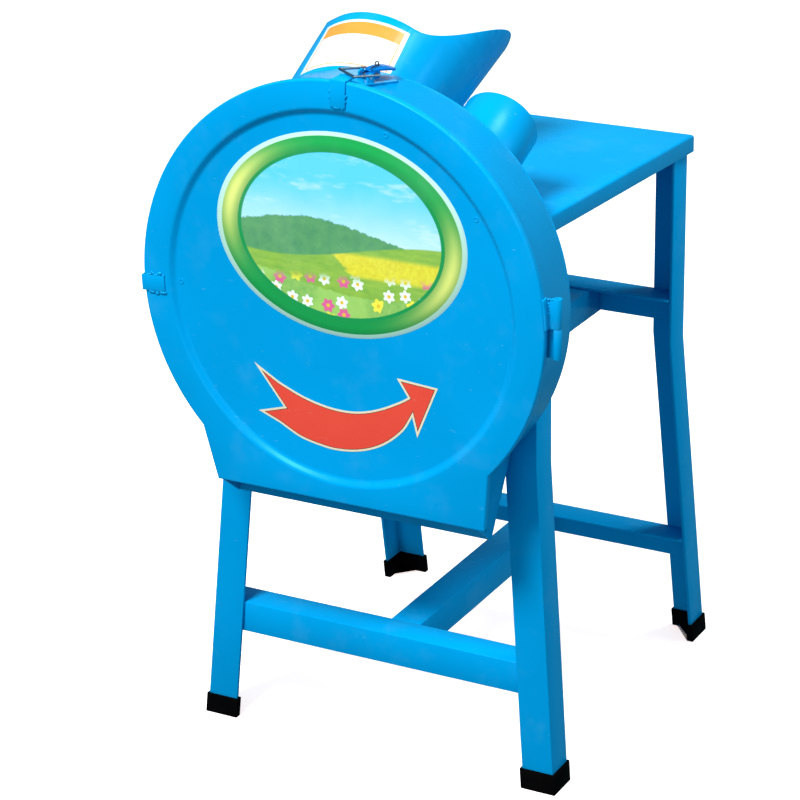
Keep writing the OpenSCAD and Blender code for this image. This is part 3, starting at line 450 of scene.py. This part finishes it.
# ---------------------------------------------------------------- motor and rotor
rounded("motor_shell", paint, 0.6)
rounded("fan_cowl", paint, 0.5, whole=False)
rounded("motor_feet", aluminium, 1.0)
rounded("front_end_shield", aluminium, 1.0)
rounded("rear_end_shield", aluminium, 1.0)
rounded("motor_packing", steel, 0.5)
rounded("terminal_box", black_plastic, 1.5, 3)
rounded("terminal_box_lid", black_plastic, 1.2, 3)
rounded("cable_gland", black_plastic, 0.6)
rounded("start_capacitor", black_plastic, 1.2, 3)
rounded("cutting_blades", tool_steel, 0.3)
rounded("throwing_vanes", paint, 0.6)

# ---------------------------------------------------------------- cover
COVER_Y, PANEL_Y, SHAFT_Z, RECESS_Z = -277 * MM, -271 * MM, SHAFT_HIGH * MM, 602 * MM
STEP_OUT, STEP_IN = 226 * MM, 214 * MM
STEEPER = 2.8 * MM  # how far each edge of the step moves towards the other
RIM_ROLL, STEP_ROLL = 2.6 * MM, 2.4 * MM


def shape_cover(piece):
    """Rolls the outer edge and softens the pressed step."""
    def near(v, y):
        return abs(v.co.y - y) < 0.3 * MM

    def round_the_recess(v):
        return math.hypot(v.co.x, v.co.z - RECESS_Z)

    def is_step(edge, radius):
        a, b = edge.verts
        return all(abs(round_the_recess(v) - radius) < 0.4 * MM for v in (a, b)) \
            and abs(a.co.y - b.co.y) < 0.2 * MM and len(edge.link_faces) == 2 \
            and edge.calc_face_angle(0) > math.radians(12)

    open_mesh(piece)
    pick(piece, "VERT", lambda v: abs(round_the_recess(v) - STEP_OUT) < 0.6 * MM
         and v.co.y < COVER_Y + 0.4 * MM)
    bpy.ops.mesh.remove_doubles(threshold=0.16 * MM)
    for radius, shift in ((STEP_OUT, -STEEPER), (STEP_IN, STEEPER)):
        pick(piece, "VERT", lambda v: abs(round_the_recess(v) - radius) < 0.6 * MM)
        grow = (radius + shift) / radius
        bpy.ops.transform.resize(value=(grow, 1, grow), center_override=(0, PANEL_Y, RECESS_Z))
    pick(piece, "EDGE", lambda e: all(near(v, COVER_Y) for v in e.verts)
         and e.calc_face_angle(0) > UPRIGHT)
    bpy.ops.mesh.bevel(offset=RIM_ROLL, segments=5, clamp_overlap=False)
    pick(piece, "EDGE", lambda e: is_step(e, STEP_IN + STEEPER) or is_step(e, STEP_OUT - STEEPER))
    bpy.ops.mesh.bevel(offset=STEP_ROLL, segments=4, clamp_overlap=False)
    close_mesh()


rounded("drum_cover", paint, 0.3, shape=shape_cover, soft=24)

# ---------------------------------------------------------------- welds
def drop_model():
    """One drop of weld metal: a flattened ball with a soft ripple."""
    drop = added(bpy.ops.mesh.primitive_ico_sphere_add, "weld_drop", subdivisions=2, radius=1)
    open_mesh(drop)
    pick(drop, "VERT", lambda v: v.co.z < -0.2)
    bpy.ops.transform.resize(value=(1, 1, 0.4), center_override=(0, 0, 0))
    pick(drop, "VERT", lambda v: v.co.x > 0.3)
    bpy.ops.transform.translate(value=(0.15, 0, -0.1))
    close_mesh()
    return drop


DROP = drop_model()
dice = random.Random(11)


def along(points, gap):
    """Places at an even gap along a line of points, each with its direction."""
    made, left = [], 0.0
    for a, b in zip(points, points[1:]):
        a, b = Vector(a) * MM, Vector(b) * MM
        span = (b - a).length
        while left < span:
            made.append((a.lerp(b, left / span), (b - a).normalized()))
            left += gap * MM
        left -= span
    return made


DROP_FLAT, DROP_SHORT = 0.75, 0.8  # height and length of a drop as shares of its width


def weld(name, body, runs, size, gap):
    """Beads of weld along lines given in millimetres."""
    places = []
    for points in runs:
        for at, way in along(points, gap):
            grow = size * MM * dice.uniform(0.75, 1.2)
            turn = way.to_track_quat("X", "Z").to_matrix().to_4x4()
            shift = Vector([dice.uniform(-0.25, 0.25) * size * MM for _ in range(3)])
            places.append(Matrix.Translation(at + shift) @ turn
                          @ Matrix.Diagonal((grow * DROP_SHORT, grow, grow * DROP_FLAT, 1)))
    bead = strewn(name, DROP, places)
    smooth(bead, 60)
    return finished(bead, weld_paint, body)


def ring_of(cx, y, cz, rx, rz, start=0, stop=360, step=3):
    """Points in millimetres round an upright oval, from one angle to another in degrees."""
    return [(cx + rx * math.cos(math.radians(t)), y, cz + rz * math.sin(math.radians(t)))
            for t in range(start, stop + step, step)]


TUBE_RISE = math.radians(24.9)
BIG_X, BIG_TUBE_R, BIG_HIGH = -49, 85.5, 744
SMALL_X, SMALL_TUBE_R, SMALL_HIGH = 125, 45, 746
PLATE_BACK, PLATE_THICK, BEAD_OUT = -190, 3, 0.6
tube_rings = []
for x, radius, height in ((BIG_X, BIG_TUBE_R, BIG_HIGH), (SMALL_X, SMALL_TUBE_R, SMALL_HIGH)):
    centre, reach = height + PLATE_THICK * math.tan(TUBE_RISE), radius + BEAD_OUT
    tube_rings.append(ring_of(x, PLATE_BACK, centre, reach, reach / math.cos(TUBE_RISE)))
weld("tube_welds", "stand", tube_rings, 1.8, 1.6)

bar_welds = []
for side in (-1, 1):
    bar_welds += [[(side * 222.5, -198, 156), (side * 222.5, -160, 156)],
                  [(side * 222.5, -196, 154), (side * 222.5, -196, 120)],
                  [(side * 202.8, -186, 500), (side * 202.8, -150, 500)],
                  [(side * 222.2, 244, 157), (side * 222.2, 210, 157)],
                  [(side * 219.4, 194, 500), (side * 219.4, 160, 500)],
                  [(side * 203, -186, 650), (side * 203, -186, 690)]]
weld("crossbar_welds", "stand", bar_welds, 2.2, 2.3)

# Short stitches that hold the drum band on its back plate
STITCH_Y, STITCH_R, STITCH_LONG = -193.5, 249.4, 7
stitches = [ring_of(0, STITCH_Y, SHAFT_HIGH, STITCH_R, STITCH_R, start, start + STITCH_LONG, 1)
            for start in (132, 168, 204)]
weld("drum_stitches", "stand", stitches, 2.2, 2.2)


# Beads listed one by one beside the two catches: side, radius, length and width in millimetres, lean in
# degrees
CATCH_BEADS = {
    TOP_TURN: [(-10.2, 246.5, 2.8, 2.4, 0), (-10.2, 239.5, 3.0, 2.2, 8), (10.1, 242.8, 3.6, 2.3, 30),
               (9.6, 236.8, 2.4, 1.8, 0), (-1.5, 228.4, 8.5, 1.6, 90), (5.8, 228.6, 2.8, 2.4, 80)],
    LEFT_TURN: [(10.2, 250, 6.6, 2.6, -8), (12.2, 244.5, 4.8, 3.2, 32), (10.0, 241, 5.8, 3.0, 6),
                (12.0, 235.2, 7.2, 3.4, -14), (10.0, 230.2, 3.4, 3.2, 20), (-10.8, 247.5, 7.6, 2.8, 5),
                (-11.8, 240.2, 4.6, 3.4, -12), (-11.0, 233.8, 6.6, 3.0, 8), (-10.6, 229.0, 3.2, 3.2, 0)]}
BEAD_Y, BEAD_PROUD, BEAD_SHARE = -278.1, 0.9, 0.27


def catch_beads():
    """Lays three drops side by side for each bead, on the cover's face."""
    places = []
    for turn, beads in CATCH_BEADS.items():
        t = math.radians(turn)
        out, across = Vector((math.sin(t), 0, math.cos(t))), Vector((math.cos(t), 0, -math.sin(t)))
        for side, radius, length, width, lean in beads:
            lean = math.radians(lean)
            way = out * math.cos(lean) + across * math.sin(lean)
            up = Vector((0, -1, 0))
            turned = Matrix((way, up.cross(way), up)).transposed().to_4x4()
            for k in (-1, 0, 1):
                beside = (side * math.cos(t) + radius * math.sin(t), BEAD_Y,
                          SHAFT_HIGH - side * math.sin(t) + radius * math.cos(t))
                at = Vector(beside) + way * k * length * BEAD_SHARE
                wide = width * dice.uniform(0.5, 0.65)
                places.append(Matrix.Translation(at * MM) @ turned
                              @ Matrix.Diagonal((length * BEAD_SHARE * MM, wide * MM, BEAD_PROUD * MM, 1)))
    bead = strewn("catch_welds", DROP, places)
    smooth(bead, 60)
    return finished(bead, weld_paint, "cover")


catch_beads()
weld("cover_hinge_welds", "cover",
     [[(262.5, -268, 642.5), (252, -271, 643)], [(259, -268.3, 612), (259, -268.3, 640)]], 1.8, 3.6)
weld("drum_hinge_welds", "stand",
     [[(251.5, -243, 574), (251.2, -243, 606)], [(250.5, -262, 573), (252, -241, 573)]], 1.8, 3.4)

# ---------------------------------------------------------------- printed pieces on the cover
LABEL_X, LABEL_Z, LABEL_RX, LABEL_RZ = 2.5 * MM, 679 * MM, 160 * MM, 119.5 * MM
PRINT_PROUD = 0.05 * MM


def label_print():
    """Green oval: pale edge, shaded green band, and a plain landscape of hills, furrows and blossom."""
    f = Finish("oval_label_print", coat=0.08, coat_rough=0.08, specular=0.2)
    x, _, z = f.parts(f.place((1 / LABEL_RX, 1, 1 / LABEL_RZ), (-LABEL_X / LABEL_RX, 0, -LABEL_Z / LABEL_RZ)))
    reach = (x * x + z * z).root()
    grain = f.noise(900, 2, 0.5)
    soft = f.noise(30, 3, 0.5)

    sky = f.mix((z * 0.9 + 0.15 + soft * 0.15).between(0.0, 0.75), (0.62, 0.82, 0.90), (0.10, 0.60, 0.90))
    cloud = f.noise(26, 4, 0.6, stretch=(0.55, 1, 1.9)).between(0.52, 0.7)
    sky = f.mix(cloud * 0.55, sky, (0.74, 0.84, 0.87))
    far_line = 0.02 + (x * 3.1 + 0.8).cos() * 0.10
    near_line = -0.12 + (x * 2.3 - 1.9).cos() * 0.13
    front_line = -0.50 + (x * 2.7 + 2.6).cos() * 0.10
    bush = f.noise(150, 3, 0.7)
    far_hill = f.mix(f.noise(70, 4, 0.6), (0.03, 0.20, 0.10), (0.16, 0.42, 0.13))
    near_hill = f.mix(f.noise(45, 4, 0.6, stretch=(1, 1, 3)), (0.10, 0.32, 0.04), (0.44, 0.60, 0.07))
    rows = ((x * 9 / (0.55 - z)).cos() * 0.5 + 0.5).between(0.35, 0.65)
    field = f.mix(rows, (0.11, 0.36, 0.06), (0.28, 0.55, 0.10))
    field = f.mix(bush, field, (0.42, 0.62, 0.14))
    scene_print = f.mix((far_line + bush * 0.07 - z).between(0.0, 0.02), sky, far_hill)
    ripe = (x + z * 0.7 + bush * 0.12).between(-0.14, -0.10) * (0.34 - (z + 0.27).size()).between(0.2, 0.26)
    near_hill = f.mix(ripe, near_hill, f.mix(f.noise(220, 3, 0.7), (0.62, 0.46, 0.01), (0.95, 0.86, 0.06)))
    scene_print = f.mix((near_line - z).between(0.0, 0.02), scene_print, near_hill)
    scene_print = f.mix((front_line + bush * 0.05 - z).between(0.0, 0.02), scene_print, field)

    across, high = x * 7.6 + 0.3, z * 5.7 + 0.1
    cells = {"Vector": f.node("CombineXYZ", None, {0: across, 1: high}), "Scale": 1.0, "Randomness": 0.7}
    flat = {"voronoi_dimensions": "2D"}
    away = f.node("TexVoronoi", flat, cells, out="Distance")
    kind = f.parts(f.node("TexVoronoi", flat, cells, out="Color"))[0]
    middle = f.parts(f.node("TexVoronoi", flat, cells, out="Position"))
    lobes = ((high - middle[1]).angle_with(across - middle[0]) * 6 + kind * 9).cos() * 0.06
    in_bloom = (-0.36 - z + x * 0.10).between(0.0, 0.12) * kind.above(0.2)
    blossom = (0.30 + lobes + kind * 0.1 - away).between(0.0, 0.04) * in_bloom
    heart = (0.12 - away).between(0.0, 0.03)
    petals = f.mix(kind.above(0.55), (0.93, 0.95, 0.9), (0.78, 0.12, 0.30))
    petals = f.mix(kind.above(0.8), petals, (0.93, 0.78, 0.06))
    petals = f.mix(heart, petals, (0.85, 0.5, 0.03))
    scene_print = f.mix(blossom, scene_print, petals)

    turn = z.angle_with(x)
    sheen = ((turn * 2 + 0.63).cos() * 0.5 + 0.5) ** 4
    band = f.mix(sheen, (0.0, 0.33, 0.06), (0.78, 0.78, 0.18))
    band = f.mix((reach - 0.90).size().between(0.0, 0.07) * 0.55, band, (0.0, 0.25, 0.05))
    colour = f.mix((reach + grain * 0.004).between(0.795, 0.805), scene_print, (0.0, 0.27, 0.06))
    colour = f.mix(reach.between(0.822, 0.834), colour, band)
    colour = f.mix(reach.between(0.955, 0.963), colour, (0.50, 0.72, 0.58))
    colour = f.mix(reach.between(0.977, 0.99), colour, (0.46, 0.68, 0.66))
    faded = f.noise(8, 4, 0.6, shift=(2, 2, 2)).between(0.45, 0.8)
    colour = f.mix(faded * 0.05 + grain * 0.03, colour, (0.8, 0.86, 0.84))
    f.put(Base_Color=colour, Roughness=0.26 + soft * 0.12 + faded * 0.12)
    f.raised(soft + grain * 0.15, 0.00008)
    return f.mat


def make_label():
    """The oval print, with its edge pressed down."""
    label = added(bpy.ops.mesh.primitive_circle_add, "oval_label", vertices=160, radius=1, fill_type="NGON",
                  rotation=(math.radians(90), 0, 0), location=(LABEL_X, PANEL_Y - PRINT_PROUD, LABEL_Z))
    label.scale = (LABEL_RX, LABEL_RZ, 1)
    settle(label)
    open_mesh(label)
    bpy.ops.mesh.inset(thickness=0.3 * MM)
    bpy.ops.transform.translate(value=(0, -0.25 * MM, 0))
    for _ in range(3):
        bpy.ops.mesh.inset(thickness=22 * MM)
    close_mesh()
    applied(label, "SOLIDIFY", thickness=0.2 * MM, offset=-1)
    smooth(label, 50)
    return finished(label, label_print(), "cover")


EASE_STEPS = 5


def eased(points):
    """A smooth line through the points."""
    line = []
    ends = [points[0]] + points + [points[-1]]
    for i in range(1, len(ends) - 2):
        a, b, c, d = (Vector(p) for p in ends[i - 1:i + 3])
        for k in range(EASE_STEPS):
            t = k / EASE_STEPS
            line.append(0.5 * (2 * b + (c - a) * t + (2 * a - 5 * b + 4 * c - d) * t * t
                               + (3 * b - a - 3 * c + d) * t ** 3))
    return [tuple(p) for p in line] + [points[-1]]


def ink(name, dark, light):
    """Printed colour: thin in places and a little rubbed."""
    f = Finish(name, coat=0.2, coat_rough=0.1, specular=0.3)
    cloud, grain = f.noise(24, 4, 0.6), f.noise(600, 2, 0.6)
    rubbed = f.noise(110, 5, 0.75, stretch=(1, 1, 3)).between(0.62, 0.76)
    colour = f.mix(cloud * 0.8 + grain * 0.2, dark, light)
    f.put(Base_Color=f.mix(rubbed * 0.35, colour, (0.75, 0.6, 0.5)), Roughness=0.3 + cloud * 0.15)
    f.raised(cloud + grain * 0.2, INK_DEPTH)
    return f.mat


ARROW_LOW = [(-83, 440), (-57, 427), (-31, 421), (-8, 419), (18, 422), (42, 430), (62, 442),
             (80, 459), (91, 477)]
ARROW_HIGH = [(86, 500), (75, 493), (49, 480), (23, 472), (-3, 470), (-29, 473), (-55, 480), (-82, 491)]
ARROW_HEAD = [(97, 453), (124, 517), (72, 521)]
ARROW_TAIL = [(-115, 510), (-77, 461), (-111, 451)]


def make_arrow():
    """Turning arrow: pale edge, dark line and red middle, all one thin print."""
    outline = eased(ARROW_LOW) + ARROW_HEAD + eased(ARROW_HIGH) + ARROW_TAIL
    mesh = bpy.data.meshes.new("turning_arrow")
    mesh.from_pydata([(x * MM, PANEL_Y - PRINT_PROUD, z * MM) for x, z in outline], [],
                     [range(len(outline))])
    arrow = bpy.data.objects.new("turning_arrow", mesh)
    home.objects.link(arrow)
    inks = [ink("arrow_edge_ink", (0.82, 0.62, 0.40), (0.90, 0.74, 0.54)),
            ink("arrow_line_ink", (0.10, 0.03, 0.02), (0.2, 0.06, 0.03)),
            ink("arrow_red_ink", (0.82, 0.055, 0.03), (0.90, 0.075, 0.04))]
    finished(arrow, inks, "cover")
    open_mesh(arrow)
    for number, width in ((1, 2.4), (2, 0.8)):
        bpy.ops.mesh.inset(thickness=width * MM, use_even_offset=True)
        arrow.active_material_index = number
        bpy.ops.object.material_slot_assign()
    close_mesh()
    applied(arrow, "SOLIDIFY", thickness=0.25 * MM, offset=1)
    return arrow


make_label()
make_arrow()

# ---------------------------------------------------------------- plate on the big tube
BIG_BASE = Vector((BIG_X, PLATE_BACK - PLATE_THICK, BIG_HIGH)) * MM
BIG_R, BIG_FLARE = BIG_TUBE_R * MM, math.tan(math.radians(2.7))
BIG_WAY = Vector((0, math.cos(TUBE_RISE), math.sin(TUBE_RISE)))
BIG_UP = Vector((0, -math.sin(TUBE_RISE), math.cos(TUBE_RISE)))
# Corners of the plate: millimetres along the tube, degrees round it
STICKER = ((44, 120), (66, 50), (137, 55), (131, 124))
STICKER_PROUD = 0.35


def on_big_tube(length, turn, proud):
    """A point on the big tube: millimetres from its base, degrees round it from the right."""
    reach, t = BIG_R + length * MM * BIG_FLARE + proud * MM, math.radians(turn)
    return BIG_BASE + BIG_WAY * length * MM + (Vector((1, 0, 0)) * math.cos(t) + BIG_UP * math.sin(t)) * reach


def sticker_print():
    """Blank pale plate with an orange header, thin orange lines and a little grime."""
    f = Finish("sticker_print", coat=0.15, coat_rough=0.12, specular=0.3)
    u, v, _ = f.parts(f.node("UVMap"))
    grain, cloud = f.noise(700, 2, 0.6), f.noise(22, 4, 0.6)
    paper = f.mix(cloud, (0.56, 0.62, 0.68), (0.72, 0.76, 0.79))
    orange = f.mix(cloud, (0.72, 0.22, 0.02), (0.82, 0.32, 0.05))
    frame_line = (u - 0.5).size().between(0.452, 0.458) + (v - 0.5).size().between(0.445, 0.452)
    inside = 1 - frame_line.least(1.0)
    header = v.between(0.685, 0.695) * inside
    edge_line = ((u - 0.5).size().between(0.438, 0.444) + (0.075 - v).between(0.0, 0.006)).least(1.0) * inside
    split = (0.006 - (u - 0.36).size()).between(0.0, 0.003) * inside
    colour = f.mix(header.most(edge_line), paper, orange)
    colour = f.mix(split * (1 - header), colour, (0.62, 0.3, 0.2))
    grime = f.noise(60, 5, 0.7).between(0.6, 0.8)
    colour = f.mix(grime * 0.25, colour, (0.35, 0.36, 0.36))
    f.put(Base_Color=colour, Roughness=0.35 + cloud * 0.15)
    f.raised(cloud + grain * 0.2, 0.00012)
    return f.mat


def make_sticker():
    """Bends a flat grid round the big tube, with a slight ripple."""
    sticker = added(bpy.ops.mesh.primitive_grid_add, "tube_sticker", x_subdivisions=40, y_subdivisions=24,
                    size=1, location=(0.5, 0.5, 0), calc_uvs=True)
    settle(sticker)
    for vertex in sticker.data.vertices:
        u, v = vertex.co.x, vertex.co.y
        (l0, t0), (l1, t1), (l2, t2), (l3, t3) = STICKER
        low = (l1 * u + l0 * (1 - u), t1 * u + t0 * (1 - u))
        high = (l2 * u + l3 * (1 - u), t2 * u + t3 * (1 - u))
        ripple = 0.12 * math.sin(9 * u + 4 * v) * math.sin(7 * v)
        vertex.co = on_big_tube(low[0] * (1 - v) + high[0] * v, low[1] * (1 - v) + high[1] * v,
                                STICKER_PROUD + ripple)
    applied(sticker, "SOLIDIFY", thickness=0.2 * MM, offset=-1)
    smooth(sticker, 50)
    return finished(sticker, sticker_print(), "stand")


make_sticker()


# ---------------------------------------------------------------- tie wire on the top latch
WIRE_R = 0.7


def make_tie_wire(points):
    """A round wire along points in millimetres, made a mesh."""
    name = "latch_tie_wire"
    data = bpy.data.curves.new(name, "CURVE")
    data.dimensions, data.bevel_depth, data.bevel_resolution, data.resolution_u = "3D", WIRE_R * MM, 3, 5
    data.use_fill_caps = True
    line = data.splines.new("NURBS")
    line.points.add(len(points) - 1)
    for slot_point, at in zip(line.points, points):
        slot_point.co = (*(Vector(at) * MM), 1)
    line.use_endpoint_u, line.order_u = True, 4
    wire = bpy.data.objects.new(name, data)
    home.objects.link(wire)
    only(wire)
    bpy.ops.object.convert(target="MESH")
    wire = bpy.context.object
    smooth(wire, 60)
    return finished(wire, black_plastic, "top_lever")


# Points of the wire's line in the top latch's own millimetres
TIE_LINE = [(-6, 19, 17.6), (-3, 15, 18.2), (0, 10, 17.6), (0.5, 6, 18), (0.5, 3.5, 20), (0.5, 5, 22.8),
            (0.5, 8, 22.8), (0.8, 9, 20.2), (1.2, 6.5, 18.2), (1.8, 3, 17.6), (2.6, 1, 17.8)]
make_tie_wire([TOP_LATCH @ Vector(p) for p in TIE_LINE])

# ---------------------------------------------------------------- dimples in the cover
DIMPLES = [(-210, -271.2, 594), (63.5, -271.2, 802.5), (173, -271.2, 721.5)]


def make_dimples():
    """Small pressed rings round the spot welds."""
    model = added(bpy.ops.mesh.primitive_torus_add, "dimple_ring", major_radius=2.6 * MM,
                  minor_radius=0.9 * MM, major_segments=24, minor_segments=10,
                  rotation=(math.radians(90), 0, 0))
    model.scale = (1, 1, 0.45)
    settle(model)
    ring = strewn("cover_dimples", model, [Matrix.Translation(Vector(p) * MM) for p in DIMPLES])
    bpy.data.objects.remove(model)
    smooth(ring, 60)
    return finished(ring, paint, "cover")


make_dimples()


# ---------------------------------------------------------------- cooling fins of the motor
FIN_HIGH, FIN_LONG, FIN_THICK = 8, 128, 2.6
FIN_Y, FIN_R, FIN_STEP = -30, 84, 9  # middle along the shaft, middle round it, degrees between two fins
FIN_GAPS = ((126, 200), (232, 308))  # degrees left free for the terminal box and the feet


def make_fins():
    """Fins round the motor's shell, thinner and shorter at their outer edge."""
    fin = added(bpy.ops.mesh.primitive_cube_add, "fin_model", size=1)
    fin.scale = (FIN_HIGH * MM, FIN_LONG * MM, FIN_THICK * MM)
    settle(fin)
    open_mesh(fin)
    pick(fin, "FACE", lambda face: face.normal.x > 0.9)
    bpy.ops.transform.resize(value=(1, 0.94, 0.55), center_override=(0, 0, 0))
    close_mesh()
    applied(fin, "BEVEL", width=0.5 * MM, segments=2, limit_method="ANGLE", angle_limit=math.radians(30))
    places = []
    for degrees in [d for d in range(0, 360, FIN_STEP) if not any(a <= d <= b for a, b in FIN_GAPS)]:
        out = Matrix.Rotation(-math.radians(degrees), 4, "Y")
        places.append(Matrix.Translation((0, FIN_Y * MM, SHAFT_Z)) @ out
                      @ Matrix.Translation((FIN_R * MM, 0, 0)))
    fins = strewn("cooling_fins", fin, places)
    bpy.data.objects.remove(fin)
    smooth(fins, 40)
    return finished(fins, paint, "stand")


make_fins()
bpy.data.objects.remove(DROP)

# ---------------------------------------------------------------- floor and light
floor_finish = Finish("pale_floor", specular=0.2)
floor_cloud = floor_finish.noise(1.5, 2, 0.5)
floor_finish.put(Base_Color=floor_finish.mix(floor_cloud, (0.86, 0.86, 0.87), (0.9, 0.9, 0.9)), Roughness=0.8,
                 Emission_Color=(1.0, 0.86, 0.82), Emission_Strength=0.88)
floor = added(bpy.ops.mesh.primitive_plane_add, "floor", size=60)
floor.data.materials.append(floor_finish.mat)
floor.visible_diffuse = floor.visible_glossy = False

sky = bpy.data.worlds.new("studio")
scene.world = sky
sky.use_nodes = True
sky_light = sky.node_tree.nodes["Background"]
sky_light.inputs[0].default_value, sky_light.inputs[1].default_value = (0.25, 0.82, 1.0, 1), 0.32
seen_sky = sky.node_tree.nodes.new("ShaderNodeBackground")
seen_sky.inputs[0].default_value = (1, 1, 1, 1)
choice = sky.node_tree.nodes.new("ShaderNodeMixShader")
straight = sky.node_tree.nodes.new("ShaderNodeLightPath")
for source, target in ((straight.outputs["Is Camera Ray"], choice.inputs[0]),
                       (sky_light.outputs[0], choice.inputs[1]), (seen_sky.outputs[0], choice.inputs[2]),
                       (choice.outputs[0], sky.node_tree.nodes["World Output"].inputs[0])):
    sky.node_tree.links.new(source, target)
scene.view_settings.view_transform = "Standard"


def soft_light(name, place, high, size, power):
    """A round soft light that looks at a height above the middle of the floor."""
    data = bpy.data.lights.new(name, "AREA")
    data.shape, data.size, data.energy = "DISK", size, power
    lamp = bpy.data.objects.new(name, data)
    home.objects.link(lamp)
    lamp.location = place
    lamp.rotation_euler = (Vector((0, 0, high)) - Vector(place)).to_track_quat("-Z", "Y").to_euler()


soft_light("key", (-0.36, -2.46, 3.63), 0.5, 1.2, 205)
soft_light("overhead", (1.4, 0.95, 4.0), 0.5, 1.2, 70)
soft_light("front", (0.5, -4.3, 1.4), 0.45, 2.4, 27)
soft_light("fill", (3.6, 0.6, 2.0), 0.5, 2.2, 34)
